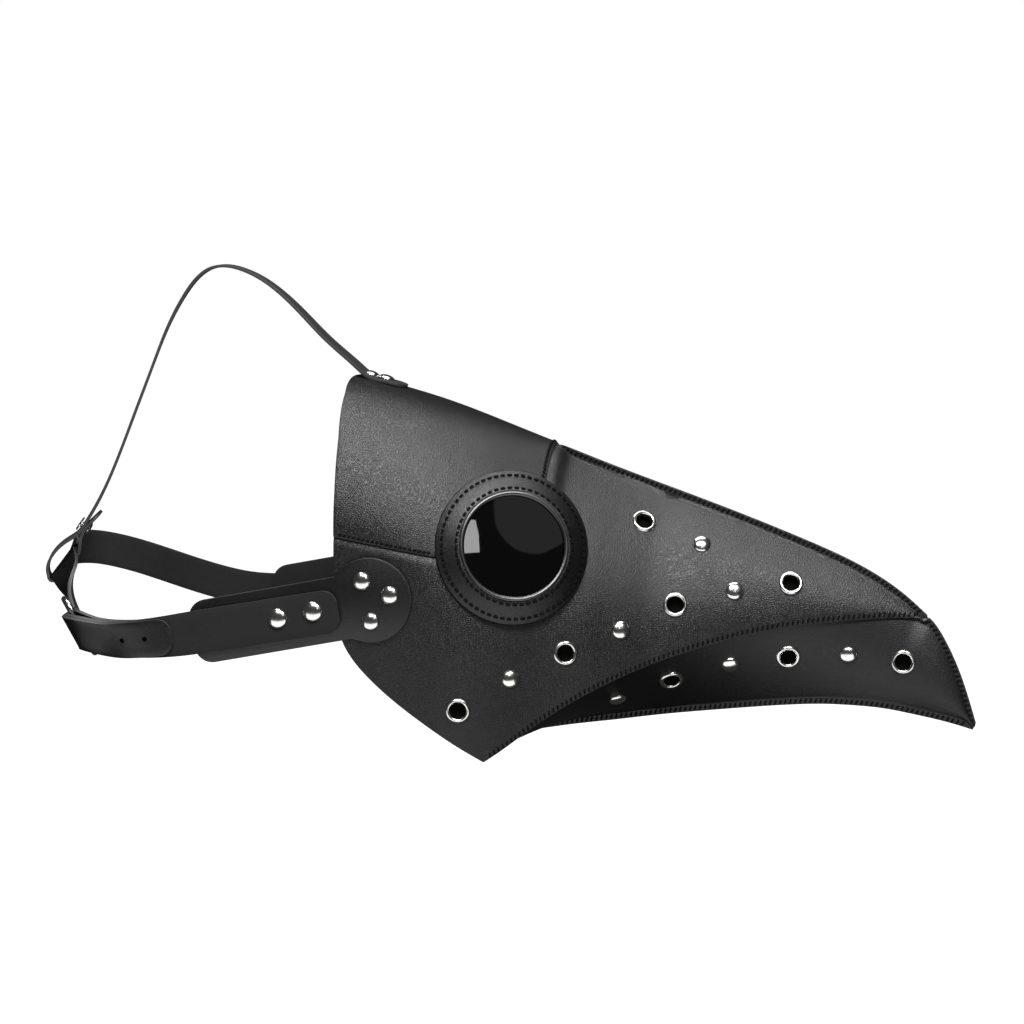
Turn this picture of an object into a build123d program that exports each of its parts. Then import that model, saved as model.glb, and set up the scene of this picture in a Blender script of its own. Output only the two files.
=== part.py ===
from build123d import *
from math import cos, hypot, radians, sin
import os

os.makedirs("parts", exist_ok=True)

# Plague doctor mask. Millimetres. +X points along the beak, +Z is up, Y = 0 is the mirror plane.
# The wearer's right is -Y. The origin is the face opening: the back edge of the side panels, at
# eye height.

# ---- Driving dimensions ----------------------------------------------------------------------
leather = 2.0  # panel thickness
strap_leather = 1.8  # back strap thickness
cheek_flat = 75.0  # half width across the flat cheeks
eye_x = 83.0
eye_z = -1.5
ring_radius = 37.5
lens_radius = 25.0
ring_height = 8.0
eyelet_radius = 6.0
eyelet_bore = 4.0
rivet_radius = 4.5
strap_rivet_radius = 5.0
strap_width = 18.0  # back strap, and the buckle end of the short strap
stub_width = 21.0  # riveted end of the short strap
top_strap_width = 15.0
top_strap_leather = 1.5
buckle_wire = 1.5  # radius of the frame's round bar
buckle_reach = 24.0  # heel bar to end rail, centre to centre
buckle_half = 15.0  # half the distance between the side rails, centre to centre
prong_wire = 1.1
press_fit = 0.05
running_fit = 0.08
layer_gap = 0.1  # leather lying on leather
body_gap = 0.4  # between pieces that move against each other
through = 14.0  # length of a cutter that passes right through the leather at a fastener
shank_radius = 1.6  # of every rivet
barrel_radius = 4.8  # of every eyelet
sleeve_radius = lens_radius + 1.2
cap_step = 0.5  # a rivet's back cap is smaller than its dome by this much
cap_thick = 0.9

# ---- Beak surface ----------------------------------------------------------------------------
# One row per station along the beak: x, ridge height, half width at the lower seam, seam
# height, keel height, half width halfway down the lower panel, and the two exponents that
# round the flank (a large first one squares the temple, a second one near 1 sharpens the ridge).
STATIONS = [
    (-95, 115, 81, -150, -150, 41, 5.0, 2.2),
    (-40, 94, 81, -142, -138, 41, 5.0, 2.2),
    (0, 78.1, 80.5, -132, -126, 41, 5.0, 2.2),
    (35, 67.2, 79, -120, -112, 40, 4.6, 2.1),
    (72, 54, 70.5, -104, -103, 36, 3.8, 1.8),
    (95, 45.5, 60, -87.5, -97, 31, 3.2, 1.5),
    (120, 36, 49.5, -72, -93.5, 25.5, 2.7, 1.25),
    (150, 25.2, 37.5, -58.5, -89.3, 20, 2.4, 1.12),
    (185, 12.6, 27, -47.3, -85.2, 16, 2.2, 1.08),
    (220, -1, 17.8, -40.5, -82, 13, 2.0, 1.05),
    (250, -14.8, 9.8, -38, -82.2, 10, 1.9, 1.05),
    (270, -28.2, 4.5, -40, -84.8, 8, 1.9, 1.05),
    (281, -38.7, 3.6, -48, -87, 6.2, 1.7, 1.05),
    (290, -53.2, 2.8, -59, -89, 4.4, 1.5, 1.05),
    (298, -72.8, 1.5, -76.5, -91, 2.5, 1.4, 1.05),
    (303, -88.4, 0.7, -89, -92.5, 1.0, 1.4, 1.05),
]
FLANK_STEPS = (0.05, 0.15, 0.3, 0.5, 0.75)


def flank_point(station, drop, inset):
    """Point on the flank, drop running from 0 at the ridge to 1 at the seam."""
    x, ridge, half, seam, keel, belly, square, sharp = station
    width = half * (1 - (1 - drop) ** square) ** (1 / sharp)
    slope = min(hypot(half, ridge - seam) / half, 2.2) if sharp < 1.4 else 1.2
    top = ridge - inset * slope
    shrink = (half - inset * 1.1) / half
    return (width * shrink, top + (seam + 0.3 * inset - top) * drop)


def section(station, inset):
    """Closed beak section in the plane x = const, offset inwards by inset."""
    x, ridge, half, seam, keel, belly, square, sharp = station
    slope = min(hypot(half, keel - seam) / half, 2.2) if seam > keel + 8 else 1.0
    bottom = keel + inset * slope
    top = flank_point(station, 0, inset)
    corner = flank_point(station, 1, inset)
    middle = (belly - inset * (1.1 if seam > keel + 8 else 0.5), (corner[1] + bottom) / 2)
    upper = [top] + [flank_point(station, step, inset) for step in FLANK_STEPS] + [corner]
    with BuildSketch(Plane.YZ.offset(x)) as cut:
        with BuildLine():
            Spline(*upper)
            Spline(corner, middle, (0, bottom))
            Spline((0, bottom), (-middle[0], middle[1]), (-corner[0], corner[1]))
            Spline(*[(-point[0], point[1]) for point in reversed(upper)])
        make_face()
    return cut


BODY_STATIONS = STATIONS[:12]
TIP_STATIONS = STATIONS[11:]

HEAD_ROOM = (105, 0, -20)  # middle of the box that trims the beak to its flat cheeks

with BuildPart() as hull:
    loft(sections=[section(station, 0).sketch for station in BODY_STATIONS])
    loft(sections=[section(station, 0).sketch for station in TIP_STATIONS])
    with Locations(HEAD_ROOM):
        Box(420, 2 * cheek_flat, 400, mode=Mode.INTERSECT)

with BuildPart() as core:
    loft(sections=[section(station, leather).sketch for station in BODY_STATIONS])
    with Locations(HEAD_ROOM):
        Box(420, 2 * (cheek_flat - leather), 400, mode=Mode.INTERSECT)

# ---- Cutting outlines, drawn in the side view ------------------------------------------------
CHIN = (72, -104)
BACK_EDGE = [
    (-8.5, 82), (-4.5, 71), (-1.8, 50), (-0.6, 0), (-0.3, -28), (4, -47.5), (17, -64.5), (42, -84.5), CHIN,
]
SEAM_EDGE = [CHIN] + [(station[0], station[3]) for station in STATIONS[5:11]] + [(264, -37.8), (279, -37.4)]

with BuildPart() as face_cut:
    with BuildSketch(Plane.XZ):
        with BuildLine():
            Spline(*BACK_EDGE)
            Polyline(CHIN, (72, -200), (-120, -200), (-120, 160), (-8.5, 160), (-8.5, 82))
        make_face()
    extrude(amount=100, both=True)

with BuildPart() as below_seam:
    with BuildSketch(Plane.XZ):
        with BuildLine():
            Spline(*SEAM_EDGE)
            Polyline((279, -37.4), (279, 60), (330, 60), (330, -200), (60, -200), (60, -112), CHIN)
        make_face()
    extrude(amount=100, both=True)

brow_x = 95.0
BROW_LINE = [(-40, 11.5), (47, -4.8), (brow_x, -10)]
with BuildPart() as brow:
    with BuildSketch(Plane.XZ):
        with BuildLine():
            Polyline(*BROW_LINE, (brow_x, 150), (-40, 150), close=True)
        make_face()
    extrude(amount=100, both=True)

with BuildPart() as shell:
    add(hull.part)
    add(core.part, mode=Mode.SUBTRACT)
    add(face_cut.part, mode=Mode.SUBTRACT)


def on_hull(x, z, side):
    """Plane on the outer surface at (x, z), facing outwards; side is -1 right, +1 left."""
    hits = hull.part.find_intersection_points(Axis((x, side * 200, z), (0, -side, 0)))
    point, normal = min(hits, key=lambda hit: abs(hit[0].Y - side * 200))
    if normal.Y * side < 0:
        normal = -normal
    return Plane(origin=point, z_dir=normal)


SIDE_EYELETS = [(60.3, -78.5), (109, -52.3), (159.2, -30.4), (213.7, -20.5), (141.7, 8.6)]
SIDE_RIVETS = [(84.4, -64), (134.3, -42.1), (187.1, -24), (170, -2)]
LOWER_EYELETS = [(156, -69), (212.5, -57), (268, -59)]
LOWER_RIVETS = [(129.5, -79), (184.7, -61), (241.5, -56)]
eye_normal = (0.37, 0.9, 0.22)

# ---- Sewn panels -----------------------------------------------------------------------------
SIDES = {"right": -1, "left": 1}


def half_space(side):
    """Box holding everything on one side of the mirror plane."""
    with BuildPart() as block:
        with Locations((105, side * 100, 0)):
            Box(600, 200, 600)
    return block.part


def eye_plane(side):
    point = on_hull(eye_x, eye_z, side).origin
    facing = (eye_normal[0], side * eye_normal[1], eye_normal[2])
    return Plane(origin=point, x_dir=(eye_normal[1], -side * eye_normal[0], 0), z_dir=facing)


def planes_at(points, side):
    return [on_hull(x, z, side) for x, z in points]


HOLES = {side: planes_at(SIDE_EYELETS, side) for side in (-1, 1)}
PINS = {side: planes_at(SIDE_RIVETS, side) for side in (-1, 1)}
LOW_HOLES = {side: planes_at(LOWER_EYELETS, side) for side in (-1, 1)}
LOW_PINS = {side: planes_at(LOWER_RIVETS, side) for side in (-1, 1)}
TOP_RIVETS = (8.4, 0.6)
ridge_fall = 17.5


def on_ridge(x):
    """Height of the beak's outer surface above the mirror plane's x."""
    return max(hit[0].Z for hit in hull.part.find_intersection_points(Axis((x, 0, 300), (0, 0, -1))))


ridge_up = (sin(radians(ridge_fall)), 0, cos(radians(ridge_fall)))
TOP_PINS = [Plane(origin=(x, 0, on_ridge(x)), z_dir=ridge_up) for x in TOP_RIVETS]
backing = 6.2  # clear radius behind an eyelet or rivet


def backing_room(planes, depth):
    """Room behind the leather for the curls and caps at the narrow end of the beak."""
    with BuildPart() as room:
        with Locations(*[plane.offset(-leather - 0.2) for plane in planes]):
            Cylinder(backing, depth, align=(Align.CENTER, Align.CENTER, Align.MAX))
    return room.part


with BuildPart() as forehead_panel:
    add(shell.part)
    add(brow.part, mode=Mode.INTERSECT)
    with Locations(eye_plane(-1), eye_plane(1)):
        Cylinder(sleeve_radius + press_fit, 60, mode=Mode.SUBTRACT)
    with Locations(*TOP_PINS):
        Cylinder(shank_radius + press_fit, 30, mode=Mode.SUBTRACT)
forehead_panel.part.label = "forehead_panel"
export_step(forehead_panel.part, "parts/forehead_panel.step")

PATCH_RIVETS = [(13.8, -16.8), (27.6, -23.3), (18.1, -36.3)]
STRAP_RIVETS = [(-27.5, -35.7), (-10, -31.9)]


def cheek_pins(points, side, level):
    """Planes square to a flat cheek, at a distance from the mirror plane, facing outwards."""
    return [Plane(origin=(x, side * level, z), z_dir=(0, side, 0)) for x, z in points]


def side_panel(side, label):
    with BuildPart() as panel:
        add(shell.part)
        add(half_space(side), mode=Mode.INTERSECT)
        add(brow.part, mode=Mode.SUBTRACT)
        add(below_seam.part, mode=Mode.SUBTRACT)
        with Locations(eye_plane(side)):
            Cylinder(sleeve_radius + press_fit, 60, mode=Mode.SUBTRACT)
        with Locations(*HOLES[side]):
            Cylinder(barrel_radius + press_fit, through, mode=Mode.SUBTRACT)
        with Locations(*PINS[side], *cheek_pins(PATCH_RIVETS, side, cheek_flat)):
            Cylinder(shank_radius + press_fit, through, mode=Mode.SUBTRACT)
    panel.part.label = label
    export_step(panel.part, "parts/" + label + ".step")
    return panel


throat_radius = 161.0  # curve of the lower panels' rear edge, seen from below
throat_x = 88.0  # where that edge meets the keel
short_through = 8.0  # cutter length where the other panel is close behind


def lower_panel(side, label):
    with BuildPart() as panel:
        add(shell.part)
        add(half_space(side), mode=Mode.INTERSECT)
        add(below_seam.part, mode=Mode.INTERSECT)
        with Locations((throat_x - throat_radius, 0, -100)):
            Cylinder(throat_radius, 60, mode=Mode.SUBTRACT)
        with Locations(*LOW_HOLES[side]):
            Cylinder(barrel_radius + press_fit, short_through, mode=Mode.SUBTRACT)
        with Locations(*LOW_PINS[side]):
            Cylinder(shank_radius + press_fit, short_through, mode=Mode.SUBTRACT)
        add(backing_room(LOW_HOLES[side] + LOW_PINS[side], 2.6), mode=Mode.SUBTRACT)
    panel.part.label = label
    export_step(panel.part, "parts/" + label + ".step")
    return panel


side_panel_right = side_panel(-1, "side_panel_right")
side_panel_left = side_panel(1, "side_panel_left")
lower_panel_right = lower_panel(-1, "lower_panel_right")
lower_panel_left = lower_panel(1, "lower_panel_left")

# ---- Eyepieces -------------------------------------------------------------------------------
lens_thick = 2.0
lens_low = ring_height - 3.0  # back face of the lens above the panel
retainer_width = 2.5
retainer_thick = 3.0
skirt = 25.0  # how far the ring's wall is drawn down before the beak is taken away from it
ring_edge = 2.2  # height of the ring's outer wall
ring_round = 1.5
bezel_depth = 9.0
bezel_lip = 0.6


def revolve_ring(plane, outline):
    """Solid of revolution about the plane's normal; outline is (radius, height) points."""
    turning = Plane(origin=plane.origin, x_dir=plane.x_dir, z_dir=-plane.y_dir)
    with BuildPart() as ring:
        with BuildSketch(turning):
            with BuildLine():
                Polyline(*outline, close=True)
            make_face()
        revolve(axis=Axis(plane.origin, plane.z_dir))
    return ring


def eyepiece(side, name):
    plane = eye_plane(side)
    bore = sleeve_radius + press_fit
    rim = [
        (bore, -skirt), (ring_radius, -skirt), (ring_radius, ring_edge),
        (ring_radius - ring_round, ring_edge + 1), (sleeve_radius + 2.5, ring_height), (bore, ring_height),
    ]
    with BuildPart() as ring:
        add(revolve_ring(plane, rim).part)
        add(hull.part, mode=Mode.SUBTRACT)
    ring.part.label = "eye_ring_" + name
    export_step(ring.part, "parts/eye_ring_" + name + ".step")
    lip_low = ring_height + layer_gap
    lip_high = lip_low + bezel_lip
    lip_out = sleeve_radius + 0.8
    lip_in = lens_radius - bezel_lip
    front = lens_low + lens_thick
    seat = [
        (lens_radius, -bezel_depth), (sleeve_radius, -bezel_depth), (sleeve_radius, lip_low),
        (lip_out, lip_low), (lip_out, lip_high), (lip_in, lip_high), (lip_in, front), (lens_radius, front),
    ]
    bezel = revolve_ring(plane, seat)
    bezel.part.label = "lens_bezel_" + name
    export_step(bezel.part, "parts/lens_bezel_" + name + ".step")
    with BuildPart() as lens:
        with BuildSketch(plane.offset(lens_low)):
            Circle(lens_radius - press_fit)
        extrude(amount=lens_thick)
    lens.part.label = "lens_" + name
    export_step(lens.part, "parts/lens_" + name + ".step")
    inner = lens_radius - press_fit
    bottom = lens_low - retainer_thick
    narrow = inner - retainer_width
    retainer = revolve_ring(plane, [(narrow, bottom), (inner, bottom), (inner, lens_low), (narrow, lens_low)])
    retainer.part.label = "lens_retainer_" + name
    export_step(retainer.part, "parts/lens_retainer_" + name + ".step")
    return ring, bezel, lens, retainer


right_eye = eyepiece(-1, "right")
left_eye = eyepiece(1, "left")

# ---- Eyelets and rivets in the panels --------------------------------------------------------
eyelet_rise = 1.3
curl_depth = leather + 1.3
curl_thick = 0.8
dome_ball = 5.8
dome_rise = 2.1


def eyelet_group(planes, label):
    """Set eyelets: a flange on the leather, a barrel through it and a curl behind it."""
    with BuildPart() as group:
        with Locations(*planes):
            Cylinder(eyelet_radius, 2 * eyelet_rise)
        add(hull.part, mode=Mode.SUBTRACT)
        with Locations(*planes):
            Cylinder(barrel_radius, curl_depth + 0.6, align=(Align.CENTER, Align.CENTER, Align.MAX))
            Cylinder(barrel_radius, eyelet_rise, align=(Align.CENTER, Align.CENTER, Align.MIN))
        with Locations(*[plane.offset(-curl_depth) for plane in planes]):
            Cylinder(eyelet_radius - 0.3, curl_thick, align=(Align.CENTER, Align.CENTER, Align.MAX))
        with Locations(*planes):
            Cylinder(eyelet_bore, through, mode=Mode.SUBTRACT)
    group.part.label = label
    export_step(group.part, "parts/" + label + ".step")
    return group


def rivet_group(planes, label):
    """Domed rivets: a cap on the leather, a shank through it and a flat cap behind it."""
    with BuildPart() as group:
        with Locations(*[plane.offset(dome_rise - dome_ball) for plane in planes]):
            Sphere(dome_ball)
        add(hull.part, mode=Mode.SUBTRACT)
        with Locations(*planes):
            Cylinder(shank_radius, leather + 1.8, align=(Align.CENTER, Align.CENTER, Align.MAX))
            Cylinder(shank_radius, 1, align=(Align.CENTER, Align.CENTER, Align.MIN))
        with Locations(*[plane.offset(-leather - 1.1) for plane in planes]):
            Cylinder(rivet_radius - cap_step, cap_thick, align=(Align.CENTER, Align.CENTER, Align.MAX))
    group.part.label = label
    export_step(group.part, "parts/" + label + ".step")
    return group


disc_thick = 0.4
disc_radius = 5.4


def backing_discs(side, label):
    """Dark gauze discs glued behind the eyelets, which let air through but hide the face."""
    with BuildPart() as discs:
        with Locations(*[plane.offset(-curl_depth - curl_thick) for plane in HOLES[side] + LOW_HOLES[side]]):
            Cylinder(disc_radius, disc_thick, align=(Align.CENTER, Align.CENTER, Align.MAX))
    discs.part.label = label
    export_step(discs.part, "parts/" + label + ".step")
    return discs


gauze_discs = [backing_discs(side, "gauze_discs_" + name) for name, side in SIDES.items()]
side_eyelets = [eyelet_group(HOLES[side], "side_eyelets_" + name) for name, side in SIDES.items()]
side_rivets = [rivet_group(PINS[side], "side_rivets_" + name) for name, side in SIDES.items()]
lower_eyelets = [eyelet_group(LOW_HOLES[side], "lower_eyelets_" + name) for name, side in SIDES.items()]
lower_rivets = [rivet_group(LOW_PINS[side], "lower_rivets_" + name) for name, side in SIDES.items()]

# ---- Cheek patches ---------------------------------------------------------------------------
patch_leather = 2.0
patch_centre = (17.5, -26)
patch_head = 20.5
tab_slope = 10.9
tab_width = 31.0
tab_length = 78.0
tab_centre = (-33, -37.2)
tab_corner = 9.0
patch_inner = cheek_flat + layer_gap
patch_outer = patch_inner + patch_leather
strap_inner = patch_outer + layer_gap
strap_outer = strap_inner + strap_leather


def flat_piece(side, inner):
    """Drawing plane on a cheek, with X along the beak and the normal pointing outwards."""
    return Plane(origin=(0, side * inner, 0), x_dir=(-side, 0, 0), z_dir=(0, side, 0))


def cheek_patch(side, label):
    with BuildPart() as patch:
        with BuildSketch(flat_piece(side, patch_inner)) as outline:
            with Locations((-side * patch_centre[0], patch_centre[1])):
                Circle(patch_head)
            with Locations(Location((-side * tab_centre[0], tab_centre[1], 0), (0, 0, -side * tab_slope))):
                Rectangle(tab_length, tab_width)
            corners = outline.vertices().filter_by(lambda v: -side * v.X < tab_centre[0])
            fillet(corners, tab_corner)
        extrude(amount=patch_leather)
        with Locations(*cheek_pins(PATCH_RIVETS + STRAP_RIVETS, side, patch_inner)):
            Cylinder(shank_radius + press_fit, through, mode=Mode.SUBTRACT)
    patch.part.label = label
    export_step(patch.part, "parts/" + label + ".step")
    return patch


def cap_group(points, side, low, high, cap, label):
    """Rivets through flat layers between the offsets low and high."""
    with BuildPart() as group:
        with Locations(*cheek_pins(points, side, high - dome_ball + dome_rise)):
            Sphere(dome_ball * cap / rivet_radius)
        with Locations((0, side * (high - 50), 0)):
            Box(400, 100, 400, mode=Mode.SUBTRACT)
        with Locations(*cheek_pins(points, side, high + 0.5)):
            Cylinder(shank_radius, high - low + 1.2, align=(Align.CENTER, Align.CENTER, Align.MAX))
        with Locations(*cheek_pins(points, side, low - layer_gap)):
            Cylinder(cap - cap_step, 0.8, align=(Align.CENTER, Align.CENTER, Align.MAX))
    group.part.label = label
    export_step(group.part, "parts/" + label + ".step")
    return group


cheek_patches = [cheek_patch(side, "cheek_patch_" + name) for name, side in SIDES.items()]
patch_rivets = [
    cap_group(PATCH_RIVETS, side, cheek_flat - leather, patch_outer, rivet_radius, "patch_rivets_" + name)
    for name, side in SIDES.items()
]
strap_rivets = [
    cap_group(STRAP_RIVETS, side, patch_inner, strap_outer, strap_rivet_radius, "strap_rivets_" + name)
    for name, side in SIDES.items()
]

# ---- Back straps and buckle ------------------------------------------------------------------
# The short right strap folds round the buckle's heel bar. The long left strap runs round the
# back, through the frame, over the prong, and lies outside the short strap as a tail.
strap_mid = strap_inner + strap_leather / 2
strap_pitch = strap_leather + layer_gap
strap_slope = 10.0
strap_start = (2.4, -31.0)
heel = Vector(-131.5, -66, -44)  # centre of the heel bar
buckle_heading = 112.0
buckle_rise = -5.0
buckle_lean = 28.0


def travel(heading, rise):
    """Unit vector from a plan heading and a rise, both in degrees."""
    level = cos(radians(rise))
    return Vector(level * cos(radians(heading)), level * sin(radians(heading)), sin(radians(rise)))


def strap_plane(point, tangent, lean):
    """Cross-section plane: X outwards, Y up the width, Z along the strap."""
    outward = Vector(0, 0, 1).cross(tangent).normalized()
    upward = tangent.cross(outward).normalized()
    turned = outward * cos(radians(lean)) - upward * sin(radians(lean))
    return Plane(origin=point, x_dir=turned, z_dir=tangent)


def shifted(plane, amount):
    return Plane(origin=plane.origin + plane.x_dir * amount, x_dir=plane.x_dir, z_dir=plane.z_dir)


def reversed_plane(plane):
    return Plane(origin=plane.origin, x_dir=-plane.x_dir, z_dir=-plane.z_dir)


def ease(value):
    value = min(max(value, 0.0), 1.0)
    return value * value * (3 - 2 * value)


def ribbon(planes, widths):
    """Flat strip of strap leather through the cross-section planes."""
    sections = []
    for plane, width in zip(planes, widths):
        with BuildSketch(plane) as strip:
            Rectangle(strap_leather, width)
        sections.append(strip.sketch)
    with BuildPart() as strap:
        loft(sections=sections, ruled=True)
    return strap.part


heel_section = strap_plane(heel, travel(buckle_heading, buckle_rise), buckle_lean)
along = heel_section.z_dir
outwards = heel_section.x_dir
fold_radius = buckle_wire + running_fit + 0.25 + strap_leather / 2


def in_buckle(reach, height):
    """Point in the buckle's own side view: reach from the heel bar, height off its plane."""
    return heel + along * reach + outwards * height


def strap_end(side, length, width, turn):
    """Flat riveted end of a strap, from its rounded tip back to the start of the bend."""
    slope = radians(strap_slope)
    middle = (strap_start[0] - length / 2 * cos(slope), strap_start[1] - length / 2 * sin(slope))
    with BuildPart() as flat:
        with BuildSketch(flat_piece(side, strap_inner)) as outline:
            with Locations(Location((-side * middle[0], middle[1], 0), (0, 0, -side * strap_slope))):
                Rectangle(length, width)
            tips = outline.vertices().filter_by(lambda v: -side * v.X > -10)
            fillet(tips, turn)
        extrude(amount=strap_leather)
        with Locations(*cheek_pins(STRAP_RIVETS, side, strap_inner)):
            Cylinder(shank_radius + press_fit, through, mode=Mode.SUBTRACT)
    return flat.part


def bend_start(side, length):
    slope = radians(strap_slope)
    across = side * strap_mid
    return Vector(strap_start[0] - length * cos(slope), across, strap_start[1] - length * sin(slope))


stub_length = 72.0
stub_from = bend_start(-1, stub_length)
with BuildLine() as stub_line:
    Spline(
        stub_from, (-87, -strap_mid, -46.4), (-104, -77.6, -47.8), (-118, -75.2, -47.2),
        in_buckle(-7, fold_radius + 0.1), in_buckle(0, fold_radius),
        tangents=[Vector(-cos(radians(strap_slope)), 0, -sin(radians(strap_slope))), along],
    )
stub_edge = stub_line.edges()[0]


def stub_plane(u):
    return strap_plane(stub_edge @ u, stub_edge % u, buckle_lean * ease((u - 0.25) / 0.6))


steps = 16
outer_run = [stub_plane(i / steps) for i in range(steps + 1)]
fold = []
for angle in (65, 40, 15, -15, -40, -65, -90):
    radial = along * cos(radians(angle)) + outwards * sin(radians(angle))
    tangent = along * sin(radians(angle)) - outwards * cos(radians(angle))
    fold.append(Plane(origin=heel + radial * fold_radius, x_dir=radial, z_dir=tangent))
return_run = []
for i in range(steps - 1, 5, -1):
    u = i / steps
    depth = strap_pitch + (2 * fold_radius - strap_pitch) * ease((u - 0.72) / 0.26)
    return_run.append(reversed_plane(shifted(stub_plane(u), -depth)))
stub_planes = outer_run + fold + return_run
stub_widths = [stub_width + (strap_width - stub_width) * ease(i / steps * 1.6) for i in range(steps + 1)]
stub_widths += [strap_width] * (len(fold) + len(return_run))
prong_slot = 4.4

with BuildPart() as short_strap:
    add(strap_end(-1, stub_length, stub_width, 7))
    add(ribbon(stub_planes, stub_widths))
    with Locations(Plane(origin=heel + along, x_dir=along, z_dir=outwards)):
        Box(2 * fold_radius + 6, prong_slot, 12, mode=Mode.SUBTRACT)
short_strap.part.label = "short_strap"
export_step(short_strap.part, "parts/short_strap.step")

# Buckle frame: round bar bent to a rectangle.
frame_corner = 6.0
frame_plane = Plane(origin=heel, x_dir=along, z_dir=outwards)
with BuildSketch(frame_plane) as frame_outline:
    with Locations((buckle_reach / 2, 0)):
        RectangleRounded(buckle_reach, 2 * buckle_half, frame_corner)
rail = frame_outline.sketch.faces()[0].outer_wire()
with BuildPart() as buckle_frame:
    with BuildSketch(Plane(origin=rail @ 0, z_dir=rail % 0)):
        Circle(buckle_wire)
    sweep(path=rail)
buckle_frame.part.label = "buckle_frame"
export_step(buckle_frame.part, "parts/buckle_frame.step")

# Prong: an eye turned round the heel bar and a rod that rests on the end rail.
eye_wall = 1.2
eye_width = 3.2
prong_over = 2.2
rest_height = buckle_wire + prong_wire + body_gap
prong_root = (buckle_wire + running_fit + 0.4, 0.9)
prong_tip = (buckle_reach + prong_over, rest_height + 0.15)


def prong_rod(radius, lift, start):
    """Rod of the prong, turned by lift degrees about the heel bar."""
    turn = radians(lift)
    ends = [
        in_buckle(px * cos(turn) - pz * sin(turn), px * sin(turn) + pz * cos(turn))
        for px, pz in (start, prong_tip)
    ]
    with BuildPart() as rod:
        with BuildLine() as axis:
            Line(*ends)
        with BuildSketch(Plane(origin=ends[0], z_dir=ends[1] - ends[0])):
            Circle(radius)
        sweep()
    return rod.part


with BuildPart() as buckle_prong:
    with Locations(Plane(origin=heel, x_dir=along, z_dir=heel_section.y_dir)):
        Cylinder(buckle_wire + running_fit + eye_wall, eye_width)
    add(prong_rod(prong_wire, 0, prong_root))
    with Locations(in_buckle(*prong_tip)):
        Sphere(prong_wire)
    with Locations(Plane(origin=heel, x_dir=along, z_dir=heel_section.y_dir)):
        Cylinder(buckle_wire + running_fit, eye_width + 4, mode=Mode.SUBTRACT)
buckle_prong.part.label = "buckle_prong"
export_step(buckle_prong.part, "parts/buckle_prong.step")

# Long strap.
long_length = 52.0
hole_pitch = 12.0
hole_radius = 1.3
tail_pitch = strap_pitch + layer_gap
long_from = bend_start(1, long_length)
over_fold = fold_radius + strap_leather + layer_gap
under_rail = -(buckle_wire + body_gap + strap_leather / 2)
with BuildLine() as long_line:
    Spline(
        long_from, (-68, strap_mid, -41.6), (-84, strap_mid, -41.2), (-104, strap_mid, -37.6),
        (-124, strap_mid, -32), (-144, strap_mid, -26), (-158, 77.2, -22.4), (-168, 72.5, -20),
        (-173.5, 62, -18.6), (-173, 45, -18),
        (-168.5, 25, -18), (-164, 8, -18), (-161, -6, -19.6), (-154, -18, -27), (-148, -28, -37.6),
        in_buckle(buckle_reach + 7, under_rail + 1), in_buckle(buckle_reach, under_rail),
        in_buckle(buckle_reach - 7, under_rail + 1.2), in_buckle(7, over_fold - 1), in_buckle(2, over_fold),
        in_buckle(-3, over_fold + 0.1),
        tangents=[Vector(-cos(radians(strap_slope)), 0, -sin(radians(strap_slope))), -along],
    )
long_edge = long_line.edges()[0]
LONG_LEAN = [(0, 0), (0.38, 0), (0.55, -15), (0.65, -36), (0.72, -38), (0.84, buckle_lean), (1, buckle_lean)]


def lean_at(u, table):
    for (low, first), (high, last) in zip(table, table[1:]):
        if u <= high:
            return first + (last - first) * ease((u - low) / (high - low))
    return table[-1][1]


def long_plane(u):
    """Cross-section of the long strap; its travel is opposite to the short strap's."""
    tangent = -(long_edge % u)
    return strap_plane(long_edge @ u, tangent, lean_at(u, LONG_LEAN))


long_steps = 72
long_planes = [long_plane(i / long_steps) for i in range(long_steps + 1)]
tail_stops = [i / steps for i in range(steps - 1, 4, -1)] + [2.7 / steps]
tail_planes = [shifted(stub_plane(u), tail_pitch) for u in tail_stops]
HOLE_AXES = [Plane(origin=plane.origin, z_dir=plane.x_dir) for plane in [stub_plane(0.36), stub_plane(0.52)]]
long_total = long_edge.length
prong_reach = 15.0  # along the strap, from its last bend point back to the prong hole
for place in range(2, 10):
    plane = long_plane((long_total - prong_reach - place * hole_pitch) / long_total)
    HOLE_AXES.append(Plane(origin=plane.origin, z_dir=plane.x_dir))
with BuildPart() as long_strap:
    add(strap_end(1, long_length, strap_width, 6))
    add(ribbon(long_planes + tail_planes, [strap_width] * len(long_planes + tail_planes)))
    for lift in (0, 4, 8, 11):
        add(prong_rod(prong_wire + body_gap, lift, (5, 1)), mode=Mode.SUBTRACT)
    tail_corners = long_strap.edges().filter_by(lambda edge: abs(edge.length - strap_leather) < 0.05)
    fillet(tail_corners.sort_by_distance(tail_planes[-1].origin)[:2], 7)
    with Locations(*HOLE_AXES):
        Cylinder(hole_radius, 3 * strap_leather, mode=Mode.SUBTRACT)
long_strap.part.label = "long_strap"
export_step(long_strap.part, "parts/long_strap.step")

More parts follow.
